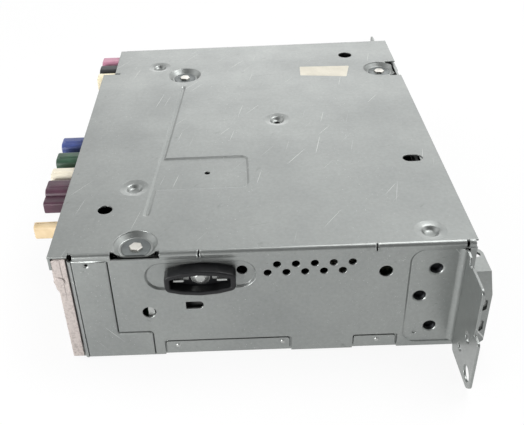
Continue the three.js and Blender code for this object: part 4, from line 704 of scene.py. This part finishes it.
def side_plate(work, side, place, rim, lip, sheet):
    """One side: the sheet with its windows, the raised rear corner, the mounting pad and the buffer's pad."""
    # The mounting pad runs on past the bend to the ear, where it is cut off.
    start, turn = PAD_REAR - PAD_CORNER, PAD_CORNER
    upper, lower = arc(start, PAD_TOP - turn, turn, 90, 0, 10), arc(start, PAD_FOOT + turn, turn, 0, -90, 10)
    pad = [(-85, PAD_TOP), *upper, *lower, (-85, PAD_FOOT)]
    tiny_hole = circle(*TINY_HOLE, 0.6, 16)
    y, z = BUFFER
    half, rise, corner = BUFFER_PAD
    buffer_pad = rectangle(y - half, y + half, z - rise, z + rise, corner, 14)
    # A slit along the foot of the raised rear corner draws its shadow line.
    high, low, step = CORNER_HIGH - 0.3, CORNER_LOW - 0.3, CORNER_STEP + 0.3
    slit = [(high, 46.9, 0.1), (high, step, 0.3), (low, step, 1.7), (low, 0.9, 0.1)]
    high, low, step = CORNER_HIGH + 0.2, CORNER_LOW + 0.2, CORNER_STEP - 0.2
    slit += [(low, 0.9, 0.1), (low, step, 1.2), (high, step, 0.8), (high, 46.9, 0.1)]
    holes = [(pad, lip)] + [(circle(y, z, r, 40), rim) for y, z, r in SIDE_HOLES]
    holes += [(circle(y, z, 1.4, 24), rim) for y, z in VENTS]
    holes += [(filleted(WINDOW), rim), (tiny_hole, 0.05), (filleted(slit), 0.1)]
    if side < 0:
        holes.append((buffer_pad, 0.45))
    outer = side_outline(side)
    front = ((0, EAR_FACE, 0), (0, -1, 0))
    clipped(work, lambda part: plate(part, place, outer, holes, sheet, rim, -SIDE_BACK), *front)
    mounts = [(circle(y, z, 2.2, 36), 0.75) for y, z in PAD_HOLES] + [(circle(*PAD_MARK, 0.8, 16), 0.2)]
    section = (-SIDE_BACK, PAD_DEPTH - SIDE_BACK, lip, 0.25, 35)
    bend_start = ((0, EAR_FACE + 1 + EAR_BEND, 0), (0, -1, 0))
    clipped(work, lambda part: pan(part, place, pad, *section, mounts, sheet), *bend_start)
    turned(work, place, *PAD_MARK, [(0, -1.3), (0.85, -1.2), (1.1, -1.0), (1.1, -1.5), (0, -1.6)], 16)
    # The raised rear corner, with a rounded step that goes down, forwards and down again.
    raised = [(67.2, SIDE_FOOT, 0), (67.2, 47.6, 0), (CORNER_HIGH, 47.6, 0.4)]
    raised += [(CORNER_HIGH, CORNER_STEP, 0.6), (CORNER_LOW, CORNER_STEP, 1.4), (CORNER_LOW, SIDE_FOOT, 0)]
    plate(work, place, filleted(raised, 4), [tiny_hole], sheet, 0.75)
    # The side's rear edge is rolled inwards.
    centre = (HALF_WIDTH - BEND, 67.2)
    roll = [*arc(*centre, BEND, 0, 90, 8), *arc(*centre, BEND - sheet, 90, 0, 6)]
    plate(work, upright, [(side * x, y) for x, y in roll], (), SIDE_TOP - SIDE_FOOT, 0.02, SIDE_TOP, 1)
    if side < 0:
        cuts = [rectangle(y - 6.5, y + 6.5, z - 2.3, z + 2.3, 1, 4), circle(y - 14.8, z + 1.3, 1.9, 32)]
        pan(work, place, buffer_pad, -SIDE_BACK, 0.85, 0.45, 0.3, 48, cuts, sheet)


def on_ear(u, v, w):
    """Outline in x and z on the ears' front face, height towards the front."""
    return Vector((u, EAR_FACE - w, v))


def ear_plate(work, side, rim):
    """The mounting ear with its holes, and the bend between it and the side."""
    root = HALF_WIDTH - PAD_DEPTH + EAR_BEND
    far, upper = HALF_WIDTH + EAR_REACH, HALF_WIDTH + 20
    corners = [(root, PAD_FOOT, 0.5), (root + 1.2, SIDE_FOOT, 1.2), (far - 3, SIDE_FOOT, 2.6)]
    corners += [(far, 3.4, 2.6), (far, 25, 1.2), (upper, 25, 0.6), (upper, 44.6, 2), (root + 6.2, 44.6, 0.5)]
    corners += [(root + 5.0, 43.4, 0.5), (root + 3.6, 43.4, 0.5), (root + 2.6, 46.2, 0.8), (root, PAD_TOP, 0)]
    holes = [(109.2, 5.8, 3.1), (99.1, 8.8, 1.7), (104.4, 18.8, 2.2)]
    outer = filleted([(side * x, z, r) for x, z, r in corners])
    plate(work, on_ear, outer, [(circle(side * x, z, r, 36), rim) for x, z, r in holes], 1.0, rim)
    centre = (root, EAR_FACE + 1 + EAR_BEND)
    bend = [*arc(*centre, EAR_BEND, 180, 270, 8), *arc(*centre, EAR_BEND + 1, 270, 180, 8)]
    plate(work, upright, [(side * x, y) for x, y in bend], (), PAD_TOP - PAD_FOOT, 0.15, PAD_TOP, 2)


def bend_strips(work, side, sheet):
    """The bends between lid and sides. The left one has gaps, and flared ticks beside its relief cuts."""
    ends = [LID_FRONT, 66]
    if side < 0:
        cuts = [y + half for y in sorted(RELIEF_CUTS) for half in (-0.3, 0.3)]
        ends = [-74.1, -71.9, -70.9, *cuts, *EDGE_NOTCH, 66.4]
    for low, high in zip(ends[::2], ends[1::2]):
        plate(work, across, bend_profile(side, sheet), (), high - low, 0.12, high, 2)
    if side < 0:
        for y in RELIEF_CUTS:
            for low in (y - 0.85, y + 0.25):
                plate(work, across, bend_profile(side, sheet, 0.35), (), 0.6, 0.15, low + 0.6, 2)


class RADIO_OT_cover(bpy.types.Operator):
    """Make the folded cover with its pressings, bends, pads and ears"""

    bl_idname = "radio.cover"
    bl_label = "Folded cover"

    def execute(self, context):
        sizes = context.scene.radio_sizes
        rim, lip, sheet = sizes.rim / MM, sizes.lip / MM, sizes.sheet / MM
        work = bmesh.new()
        lid_plate(work, rim, lip, sheet)
        for side, place in ((-1, on_left), (1, on_right)):
            side_plate(work, side, place, rim, lip, sheet)
            ear_plate(work, side, rim)
            bend_strips(work, side, sheet)
        # The lid's rear edge is folded down.
        plate(work, upright, rectangle(-89.8, 56.4, LID_REAR - 1, LID_REAR, 0.2, 2), (), 5.6, 0.2, 49.6)
        piece("case_cover", work, "zinc", "chassis", ("top_cover",))
        return {"FINISHED"}


class RADIO_OT_label(bpy.types.Operator):
    """Lay the blank paper label in the lid"""

    bl_idname = "radio.label"
    bl_label = "Blank label"

    def execute(self, context):
        work = bmesh.new()
        plate(work, on_lid, filleted(LABEL), (), 0.5, 0.05)
        piece("blank_label", work, "label")
        return {"FINISHED"}


# What repeats is grown by node trees, and kept as plain meshes.


def new_tree(name, inputs):
    """A node tree with its named inputs, and the sockets that give them."""
    tree = bpy.data.node_groups.new(name, "GeometryNodeTree")
    tree.interface.new_socket("Geometry", in_out="INPUT", socket_type="NodeSocketGeometry")
    for label, kind in inputs:
        tree.interface.new_socket(label, in_out="INPUT", socket_type="NodeSocket" + kind)
    tree.interface.new_socket("Geometry", in_out="OUTPUT", socket_type="NodeSocketGeometry")
    return tree, add_node(tree, "NodeGroupInput").outputs


def finish_tree(tree, geometry, material):
    """Ends a tree in real geometry with its material."""
    real = add_node(tree, "GeometryNodeRealizeInstances", {0: geometry})
    painted = add_node(tree, "GeometryNodeSetMaterial", {"Geometry": real.outputs[0], "Material": material})
    add_node(tree, "NodeGroupOutput", {"Geometry": painted.outputs[0]})
    return tree


def head_tree():
    """A prism with a chamfered top on every point."""
    inputs = [("Sides", "Int"), ("Radius", "Float"), ("Height", "Float"), ("Chamfer", "Float")]
    tree, given = new_tree("heads_on_points", [*inputs, ("Material", "Material")])
    inputs = {"Vertices": given["Sides"], "Radius": given["Radius"]}
    foot = add_node(tree, "GeometryNodeMeshCircle", inputs, fill_type="NGON")
    up = add_node(tree, "ShaderNodeCombineXYZ", {"Z": given["Height"]}).outputs[0]
    inputs = {"Mesh": foot.outputs[0], "Offset": up, "Individual": False}
    barrel = add_node(tree, "GeometryNodeExtrudeMesh", inputs).outputs
    further = add_node(tree, "ShaderNodeCombineXYZ", {"Z": given["Chamfer"]}).outputs[0]
    inputs = {"Mesh": barrel["Mesh"], "Selection": barrel["Top"], "Offset": further, "Individual": False}
    crown = add_node(tree, "GeometryNodeExtrudeMesh", inputs)
    share = calculated(tree, "DIVIDE", given["Chamfer"], given["Radius"])
    narrow = calculated(tree, "SUBTRACT", 1.0, share)
    inputs = {"Geometry": crown.outputs["Mesh"], "Selection": crown.outputs["Top"], "Scale": narrow}
    top = add_node(tree, "GeometryNodeScaleElements", inputs)
    joined = add_node(tree, "GeometryNodeJoinGeometry")
    for part in (top, add_node(tree, "GeometryNodeFlipFaces", {"Mesh": foot.outputs[0]})):
        tree.links.new(part.outputs[0], joined.inputs[0])
    closed = add_node(tree, "GeometryNodeMergeByDistance", {"Geometry": joined.outputs[0], "Distance": 1e-6})
    inputs = {"Points": given["Geometry"], "Instance": closed.outputs[0], "Rotation": (0, 0, 0.35)}
    copies = add_node(tree, "GeometryNodeInstanceOnPoints", inputs)
    return finish_tree(tree, copies.outputs[0], given["Material"])


def row_tree():
    """The given mesh in rows and columns."""
    inputs = [("Columns", "Int"), ("Rows", "Int"), ("Step", "Vector"), ("Row step", "Vector")]
    tree, given = new_tree("rows_of_pieces", [*inputs, ("Material", "Material")])
    copies = given["Geometry"]
    for count, step in (("Columns", "Step"), ("Rows", "Row step")):
        inputs = {"Count": given[count], "Offset": given[step]}
        line = add_node(tree, "GeometryNodeMeshLine", inputs, mode="OFFSET")
        inputs = {"Points": line.outputs[0], "Instance": copies}
        made = add_node(tree, "GeometryNodeInstanceOnPoints", inputs)
        copies = add_node(tree, "GeometryNodeRealizeInstances", {0: made.outputs[0]}).outputs[0]
    return finish_tree(tree, copies, given["Material"])


def grow(name, mesh, tree, values, body="chassis"):
    """Runs a node tree on a mesh and keeps the result as a plain mesh that rides on a body."""
    seed = new_object(name + "_seed", mesh)
    modifier = seed.modifiers.new("grow", "NODES")
    modifier.node_group = tree
    for item in tree.interface.items_tree:
        if item.in_out == "INPUT" and item.name in values:
            modifier[item.identifier] = values[item.name]
    bpy.context.view_layer.update()
    result = bpy.data.meshes.new_from_object(seed.evaluated_get(bpy.context.evaluated_depsgraph_get()))
    bpy.data.objects.remove(seed)
    result.name = name
    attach(new_object(name, result), body)


def points_mesh(points):
    """A mesh of loose points, given in millimetres."""
    mesh = bpy.data.meshes.new("points")
    mesh.from_pydata([Vector(p) * MM for p in points], [], [])
    return mesh


class RADIO_OT_screws(bpy.types.Operator):
    """Set the lid's screws, each a six-sided head on a wide flange"""

    bl_idname = "radio.screws"
    bl_label = "Lid screws"

    def execute(self, context):
        sizes = context.scene.radio_sizes
        work = bmesh.new()
        radius = sizes.washer / MM
        low, high = -SCREW_DEPTH - 0.2, -SCREW_DEPTH + 0.3
        section = [(0, low), (radius, low), (radius, high - 0.12), (radius - 0.15, high), (0, high)]
        for (x, y), cut in SCREW_CUTS:
            clipped(work, lambda part: turned(part, on_lid, x, y, section, 56), *cut)
        turned(work, on_lid, *RIGHT_SCREW, section, 56)
        piece("screw_flanges", work, "washer")
        heads = [(x, y, HEIGHT + high) for x, y in (EDGE_SCREW, RIGHT_SCREW, FRONT_SCREW)]
        values = {"Sides": 6, "Radius": sizes.screw, "Height": 0.45 * MM, "Chamfer": 0.25 * MM}
        values["Material"] = finishes["screw"]
        grow("screw_heads", points_mesh(heads), head_tree(), values)
        return {"FINISHED"}


# Rear casting.

CAST_FRONT, CAST_REAR = 69.1, 73.3
CAST_LOW, CAST_HIGH = 39.5, 48.4  # the wall's upper edge on the right, behind sockets, and elsewhere
FIN_FIRST, FIN_PITCH, FIN_THICK, FIN_COUNT = -69.3, 6.5, 2.0, 13


class RADIO_OT_casting(bpy.types.Operator):
    """Make the die-cast rear wall with its head, pad and fins"""

    bl_idname = "radio.casting"
    bl_label = "Rear casting"

    def execute(self, context):
        work = bmesh.new()
        wall = [(-89.5, 0.6, 0.6), (89.5, 0.6, 0.6), (89.5, 36, 1), (86.5, CAST_LOW, 0.5)]
        wall += [(56.76, CAST_LOW, 0.8), (56.76, CAST_HIGH, 0.8), (-89.4, CAST_HIGH, 0.3)]
        windows = [rectangle(-60.04, 10.94, 33, 42.6, 1.2), rectangle(16, 63.2, 9.3, 28, 1.2)]
        plate(work, across, filleted(wall), windows, CAST_REAR - CAST_FRONT, 0.45, CAST_REAR)
        # The head at the wall's left end, and its stud.
        head = [(71, 30, 0), (73.1, 33.2, 0.8), (73.9, 35, 1.2), (74.3, 38, 2), (74.2, 48.2, 0.8)]
        plate(work, along_x, filleted([*head, (71, 48.2, 0)], 4), (), 9.2, 0.5, -80.4)
        stud = [(0, -85), (1.9, -85), (1.9, -89.75), (1.7, -89.95), (0, -89.95)]
        turned(work, along_x, 72.5, 38.6, stud, 32)
        # The pad on which the power amplifier lies.
        plate(work, along_x, rectangle(65.8, 71, 11, 29.6, 0.8), (), 32, 0.5, -9.2)
        piece("rear_casting", work, "casting", "chassis", ("rear_heatsink",))
        fin = bmesh.new()
        outline = filleted([(72, 3, 0), (79.4, 3, 1.6), (80, 27, 1.6), (72, 27.6, 0)], 4)
        plate(fin, along_x, outline, (), FIN_THICK, 0.45, FIN_FIRST + FIN_THICK)
        values = {"Columns": FIN_COUNT, "Rows": 1, "Step": (FIN_PITCH * MM, 0, 0)}
        values["Material"] = finishes["casting"]
        grow("cooling_fins", finished_mesh("fin", fin), row_tree(), values)
        return {"FINISHED"}


# Sockets. A row has its sockets' two ends in y, the floor of their bores in y, and their axis in z.

LEFT_ROW = (73.7, 88.0, 80.0, 37.8)
RIGHT_ROW = (69.0, 78.6, 71.5, 44.3)
# Node, middle in x, width, row, finish and material slot.
JACKS = (
    ("jack_blue", 5.94, 8.8, LEFT_ROW, "blue", "blue_plastic"),
    ("jack_green", -7.74, 9.2, LEFT_ROW, "green", "green_plastic"),
    ("jack_cream", -20.45, 8.4, LEFT_ROW, "cream", "cream_plastic"),
    ("jack_bordeaux", -31.14, 10.4, LEFT_ROW, "bordeaux", "bordeaux_plastic"),
    ("jack_pink", 81.36, 9.2, RIGHT_ROW, "pink", "pink_plastic"),
    ("jack_black", 71.19, 8.8, RIGHT_ROW, "black", "black_plastic"),
    ("jack_ivory", 61.56, 8.4, RIGHT_ROW, "ivory", "cream_plastic"),
)


def socket(work, x, width, row):
    """A moulded housing with a round mouth, a bore and the coax tube in it. The left row has latch ridges."""
    low, high, floor, axis = row
    half, rise, end = width / 2, 4.2, high - 2.6
    shell = rectangle(x - half, x + half, axis - rise, axis + rise, 2.5, 8)
    plate(work, across, shell, [(circle(x, axis, 3.1, 40), 0.4)], high - low, 0.6, high)
    turned(work, across, x, axis, [(0, floor), (3.2, floor), (3.2, floor - 1), (0, floor - 1)], 32)
    rim = [(1.9, end - 0.2), (1.7, end), (1.25, end), (1.1, end - 0.2)]
    turned(work, across, x, axis, [(1.1, floor - 0.5), (1.9, floor - 0.5), *rim], 32)
    if row is LEFT_ROW:
        foot, top = axis + rise - 0.2, axis + rise + 0.5
        ridge = [(x - 1.6, foot), (x + 1.6, foot), (x + 1.2, top), (x - 1.2, top)]
        plate(work, across, ridge, (), high - low - 4.5, 0.12, high - 1.5, 2)


class RADIO_OT_sockets(bpy.types.Operator):
    """Make the coded antenna sockets"""

    bl_idname = "radio.sockets"
    bl_label = "Antenna sockets"

    def execute(self, context):
        for node, x, width, row, finish, slot in JACKS:
            work = bmesh.new()
            socket(work, x, width, row)
            if node == "jack_bordeaux":
                # The double socket's second housing, with a square mouth.
                low, high, _, axis = row
                block = rectangle(x - 10.6, x - width / 2 + 0.6, axis - 3.4, axis + 2.0, 1.2)
                mouth = rectangle(x - 9.4, x - 6.6, axis - 2.0, axis + 0.6, 0.5)
                plate(work, across, block, [(mouth, 0.2)], high - low, 0.5, high)
            piece(node + "_fine", work, finish, "chassis", (node,))
        # The beige socket is slim, and a fine groove runs along its top.
        work = bmesh.new()
        low, high, floor, axis = LEFT_ROW
        x, top = -57.24, 40.9
        slim = [(x - 2.2, 34.7, 1.2), (x + 2.2, 34.7, 1.2), (x + 2.2, top, 1.4), (x + 0.74, top, 0.15)]
        slim += [(x + 0.54, top - 0.5, 0.1), (x + 0.34, top, 0.15), (x - 2.2, top, 1.4)]
        plate(work, across, filleted(slim), [(circle(x, axis, 1.3), 0.3)], high - low, 0.6, high)
        turned(work, across, x, axis, [(0, floor), (1.4, floor), (1.4, floor - 1), (0, floor - 1)], 24)
        piece("jack_beige_fine", work, "beige", "chassis", ("jack_beige",))
        return {"FINISHED"}


class RADIO_OT_buffer(bpy.types.Operator):
    """Make the rubber buffer ring on the left side"""

    bl_idname = "radio.buffer"
    bl_label = "Rubber buffer"

    def execute(self, context):
        work = bmesh.new()
        y, z = BUFFER
        corners = [(-12.6, -3.4, 2.3), (-6.5, -5.0, 9), (0, -5.6, 12), (6.5, -5.0, 9), (12.6, -3.4, 2.3)]
        corners += [(12.6, 3.4, 2.3), (6.5, 5.0, 9), (0, 5.6, 12), (-6.5, 5.0, 9), (-12.6, 3.4, 2.3)]
        outer = filleted([(y + a, z + b, r) for a, b, r in corners], 6)
        inner = inset(wound(outer, True), 1.9)
        plate(work, on_left, outer, [(inner, 0.5)], 5.0, 0.7, 4.3, 4)
        # The web at the ring's back, with a slot for each tab of the clip and a round one for its dome.
        slots = [rectangle(y + a, y + a + 5.8, z - 1.1, z + 1.1, 0.4, 3) for a in (-10.0, 4.2)]
        plate(work, on_left, inset(wound(outer, True), 1.3), [*slots, circle(y, z, 3.4, 40)], 0.7, 0.2, 0.2)
        piece("buffer_ring", work, "rubber", "chassis", ("side_buffer",))
        return {"FINISHED"}


# Nodes whose shape is right as it is, by finish and by rounding in millimetres. The rounding is made where
# faces meet at more than 30 degrees on flat pieces, and at more than 50 degrees on round ones.

FLAT_NODES = (
    ("zinc", 0.18, "bottom_tray"),
    ("zinc", 0.2, "front_bracket"),
    ("casting", 0.3, "antenna_header_left", "antenna_header_right"),
    ("board", 0.08, "antenna_board", "main_board"),
    ("tin", 0.2, "processor_shield"),
    ("tin", 0.25, "tuner_shield"),
    ("black", 0.2, "power_amplifier"),
    ("black", 0.12, "main_connector"),
    ("inner_zinc", 0.12, "buffer_clip"),
    ("inner_zinc", 0.15, "drive_frame"),
    ("black", 0.15, "upper_disc_guide", "lower_disc_guide"),
    ("inner_zinc", 0.15, "deck_plate"),
    ("inner_zinc", 0.12, "clamp_arm", "roller_arm", "shift_slider"),
    ("black", 0.15, "pickup_sled"),
)
ROUND_NODES = (
    ("sleeve", 0.4, "capacitor_rear", "capacitor_middle", "capacitor_front"),
    ("rubber", 0.3, "damper_front_right", "damper_rear_right", "damper_front_left", "damper_rear_left"),
    ("bright", 0.25, "spindle_motor"),
    ("black", 0.15, "turntable", "clamp_puck"),
    ("acetal", 0.1, "lens_holder"),
    ("bright", 0.1, "guide_rod_rear", "guide_rod_front"),
    ("bright", 0.05, "lead_screw"),
    ("bright", 0.2, "sled_motor"),
    ("acetal", 0.06, "clutch_output_gear", "clutch_input_gear", "reduction_gear"),
    ("brass", 0.05, "motor_pinion"),
    ("bright", 0.2, "loading_motor"),
    ("acetal", 0.06, "roller_gear"),
    ("bright", 0.1, "roller_shaft"),
    ("rubber", 0.2, "roller_sleeve_right", "roller_sleeve_left"),
)


def end_tray_walls(work):
    """Ends the tray's side walls behind the cover's rolled edge."""
    for vert in work.verts:
        if vert.co.y > 69.5 * MM and vert.co.z > 1.5 * MM:
            vert.co.y = 68.2 * MM


class RADIO_OT_fine_nodes(bpy.types.Operator):
    """Round the edges of the sheet, cast and moulded pieces, and give each its finish"""

    bl_idname = "radio.fine_nodes"
    bl_label = "Sheet, cast and moulded pieces"

    def execute(self, context):
        for rows, angle in ((FLAT_NODES, 30), (ROUND_NODES, 50)):
            for finish, edge, *nodes in rows:
                for node in nodes:
                    refine(node, finish, edge, angle, end_tray_walls if node == "bottom_tray" else None)
        return {"FINISHED"}


class RADIO_OT_small_sheet(bpy.types.Operator):
    """Add the tray's pressed marks and its tab, and the bracket's second layer"""

    bl_idname = "radio.small_sheet"
    bl_label = "Small sheet parts"

    def execute(self, context):
        work = bmesh.new()
        for y, z in ((32.6, 4.7), (-7.2, 4.9), (-42.7, 4.4)):
            mark = [(0, -0.7), (1.0, -0.7), (0.9, -0.45), (0.6, -0.24), (0.25, -0.16), (0, -0.15)]
            turned(work, on_left, y, z, mark, 24)
        # The second layer shows through the slots of the bracket's cheeks.
        inner, outer, front, rear = 88.2, 88.85, -82.6, -74.9
        for side in (-1, 1):
            layer = [(side * inner, front), (side * outer, front), (side * outer, rear), (side * inner, rear)]
            plate(work, upright, layer, (), 22, 0.1, 24, 1)
        # The tab shows in the side's round rear hole.
        plate(work, on_left, [(39.3, 18.6), (42.4, 18.6), (42.4, 26), (40.8, 26)], (), 0.6, 0.1, -1.5)
        piece("small_sheet_parts", work, "inner_zinc")
        return {"FINISHED"}


class RADIO_OT_pad_inserts(bpy.types.Operator):
    """Put a threaded insert behind each hole of the mounting pads, its closed cup near black as painted shade
    in the hole
    """

    bl_idname = "radio.pad_inserts"
    bl_label = "Threaded inserts"

    def execute(self, context):
        work = bmesh.new()
        thread = [(2.2 - 0.25 * (k % 2), -1.1 - 0.35 * k) for k in reversed(range(6))]
        cup = [(0, -3.2), (1.95, -3.1), *thread, (2.9, -1.1), (2.9, -3.4), (0, -3.4)]
        for place in (on_left, on_right):
            for y, z in PAD_HOLES:
                turned(work, place, y, z, cup, 36)
        # The closed cups are near black: painted shade in the pad holes.
        piece("pad_inserts", work, "thread_shade_dark")
        return {"FINISHED"}


class RADIO_OT_plug_pins(bpy.types.Operator):
    """Set the main plug's pins in two rows"""

    bl_idname = "radio.plug_pins"
    bl_label = "Plug pins"

    def execute(self, context):
        pin = bmesh.new()
        plate(pin, across, rectangle(21.54, 22.66, 15.09, 16.21, 0.1, 2), (), 6.1, 0.3, 81.85, 2)
        values = {"Columns": 8, "Rows": 2, "Step": (5 * MM, 0, 0), "Row step": (0, 0, 6 * MM)}
        values["Material"] = finishes["tin"]
        grow("plug_pins", finished_mesh("pin", pin), row_tree(), values)
        return {"FINISHED"}


# Stage. The camera's lengths are in pixels of the photo.

PHOTO_WIDTH, PHOTO_HEIGHT = 524, 425
FOCAL_LENGTH = 736.02
VIEW_AXIS = (231.54, 193.26)
SENSOR = 36
FLOOR_RADIUS = 3.0  # in metres
FLOOR_GAP = 0.5 * MM  # the floor lies a hair under the tray, so that their faces don't meet
# Each glow multiplies the room's light by an amount that changes with the angle from a direction: the
# direction, the two cosines between which it changes, and the amounts at these.
GLOWS = (
    ((0.94, -0.07, 0.14), 0.78, 0.99, 0.52, 2.3),  # the room beyond the radio, brightest low down
    ((-0.75, 0.1, 0.65), 0.35, 0.9, 1.0, 0.2),  # the photographer's shade behind the camera
    ((0.05, -0.8, 0.6), 0.6, 0.95, 1.0, 3.0),  # before the radio
    ((0.05, 0.8, 0.6), 0.7, 0.97, 1.0, 3.2),  # behind the radio
)


def area_lamp(name, place, aim, size, power):
    """A lamp at a place, turned towards the point that it aims at."""
    data = bpy.data.lights.new(name, "AREA")
    data.shape = "RECTANGLE"
    data.size, data.size_y = size
    data.energy = power
    lamp = new_object(name, data)
    lamp.location = place
    lamp.rotation_euler = (Vector(aim) - Vector(place)).to_track_quat("-Z", "Y").to_euler()


class RADIO_OT_stage(bpy.types.Operator):
    """Set up the white floor, the soft light and the camera at the photograph's angle"""

    bl_idname = "radio.stage"
    bl_label = "Floor, light and camera"

    def execute(self, context):
        scene = context.scene
        scene.view_settings.view_transform = "Standard"
        self.camera(scene)
        self.floor()
        self.world(scene)
        # Places, aims and sizes are in metres, and powers in watts.
        area_lamp("key", (0.15, -0.3, 0.8), (0, 0, 0.03), (0.5, 0.5), 4)
        area_lamp("fill", (-0.38, 0.32, 0.1), (-0.09, 0.05, 0.025), (0.25, 0.14), 2.1)
        return {"FINISHED"}

    def camera(self, scene):
        data = bpy.data.cameras.new("camera")
        data.sensor_width = SENSOR
        data.lens = SENSOR * FOCAL_LENGTH / PHOTO_WIDTH
        data.shift_x = (PHOTO_WIDTH / 2 - VIEW_AXIS[0]) / PHOTO_WIDTH
        data.shift_y = (VIEW_AXIS[1] - PHOTO_HEIGHT / 2) / PHOTO_WIDTH
        data.clip_start = 0.01
        camera = new_object("camera", data)
        # The camera's axes and place, as fitted to the case's corners in the photo.
        right = Vector((-0.009708, -0.999170, -0.039568))
        down = Vector((-0.559032, 0.038231, -0.828264))
        ahead = Vector((0.829089, 0.014079, -0.558939))
        turn = Matrix((right, -down, -ahead)).transposed().to_4x4()
        camera.matrix_world = Matrix.Translation(Vector((-289.897, 6.247, 208.727)) * MM) @ turn
        scene.camera = camera

    def floor(self):
        work = bmesh.new()
        bmesh.ops.create_circle(work, cap_ends=True, segments=64, radius=FLOOR_RADIUS)
        mesh = mesh_of(work, "floor")
        floor = new_object("floor", mesh)
        floor.location.z = -FLOOR_GAP
        material, tree = new_material("white_studio_floor")
        matt = add_node(tree, "ShaderNodeBsdfDiffuse", {"Color": (0.82, 0.82, 0.82, 1)})
        glow = add_node(tree, "ShaderNodeEmission", {"Color": (1, 1, 1, 1), "Strength": 1.0})
        path = add_node(tree, "ShaderNodeLightPath")
        seen = path.outputs["Is Camera Ray"]
        for ray in ("Is Glossy Ray", "Is Transmission Ray"):
            seen = calculated(tree, "MAXIMUM", seen, path.outputs[ray])
        # A tenth of what the camera sees stays matt, and holds the radio's shadow.
        share = calculated(tree, "MULTIPLY", seen, 0.9)
        inputs = {0: share, 1: matt.outputs[0], 2: glow.outputs[0]}
        mixed = add_node(tree, "ShaderNodeMixShader", inputs)
        add_node(tree, "ShaderNodeOutputMaterial", {"Surface": mixed.outputs[0]})
        mesh.materials.append(material)

    def world(self, scene):
        world = bpy.data.worlds.new("studio")
        world.use_nodes = True
        scene.world = world
        tree = world.node_tree
        tree.nodes.clear()
        direction = add_node(tree, "ShaderNodeTexCoord").outputs["Generated"]
        light = 1.0
        for towards, *limits in GLOWS:
            inputs = {0: direction, 1: Vector(towards).normalized()}
            facing = add_node(tree, "ShaderNodeVectorMath", inputs, operation="DOT_PRODUCT")
            light = calculated(tree, "MULTIPLY", light, spread(tree, facing.outputs["Value"], *limits))
        background = add_node(tree, "ShaderNodeBackground", {"Color": (1, 1, 1, 1), "Strength": light})
        add_node(tree, "ShaderNodeOutputWorld", {"Surface": background.outputs[0]})


class RADIO_PT_panel(bpy.types.Panel):
    """Lists the radio's pieces and settings"""

    bl_idname = "RADIO_PT_panel"
    bl_label = "Car disc radio"
    bl_space_type = "VIEW_3D"
    bl_region_type = "UI"
    bl_category = "Radio"

    def draw(self, context):
        for settings in (context.scene.radio_sizes, context.scene.radio_colours):
            for name in settings.__annotations__:
                self.layout.prop(settings, name)
        for operator in OPERATORS:
            self.layout.operator(operator.bl_idname)


OPERATORS = (
    RADIO_OT_stage,
    RADIO_OT_cover,
    RADIO_OT_label,
    RADIO_OT_screws,
    RADIO_OT_casting,
    RADIO_OT_sockets,
    RADIO_OT_buffer,
    RADIO_OT_fine_nodes,
    RADIO_OT_small_sheet,
    RADIO_OT_pad_inserts,
    RADIO_OT_plug_pins,
)
CLASSES = (RadioSizes, RadioColours, *OPERATORS, RADIO_PT_panel)


def register():
    for kind in CLASSES:
        bpy.utils.register_class(kind)
    bpy.types.Scene.radio_sizes = bpy.props.PointerProperty(type=RadioSizes)
    bpy.types.Scene.radio_colours = bpy.props.PointerProperty(type=RadioColours)


def unregister():
    del bpy.types.Scene.radio_colours
    del bpy.types.Scene.radio_sizes
    for kind in reversed(CLASSES):
        bpy.utils.unregister_class(kind)


def main():
    register()
    make_finishes(bpy.context.scene.radio_colours)
    bpy.ops.radio.stage()
    bpy.ops.radio.cover()
    bpy.ops.radio.label()
    bpy.ops.radio.screws()
    bpy.ops.radio.casting()
    bpy.ops.radio.sockets()
    bpy.ops.radio.buffer()
    bpy.ops.radio.fine_nodes()
    bpy.ops.radio.small_sheet()
    bpy.ops.radio.pad_inserts()
    bpy.ops.radio.plug_pins()


if __name__ == "__main__":
    main()
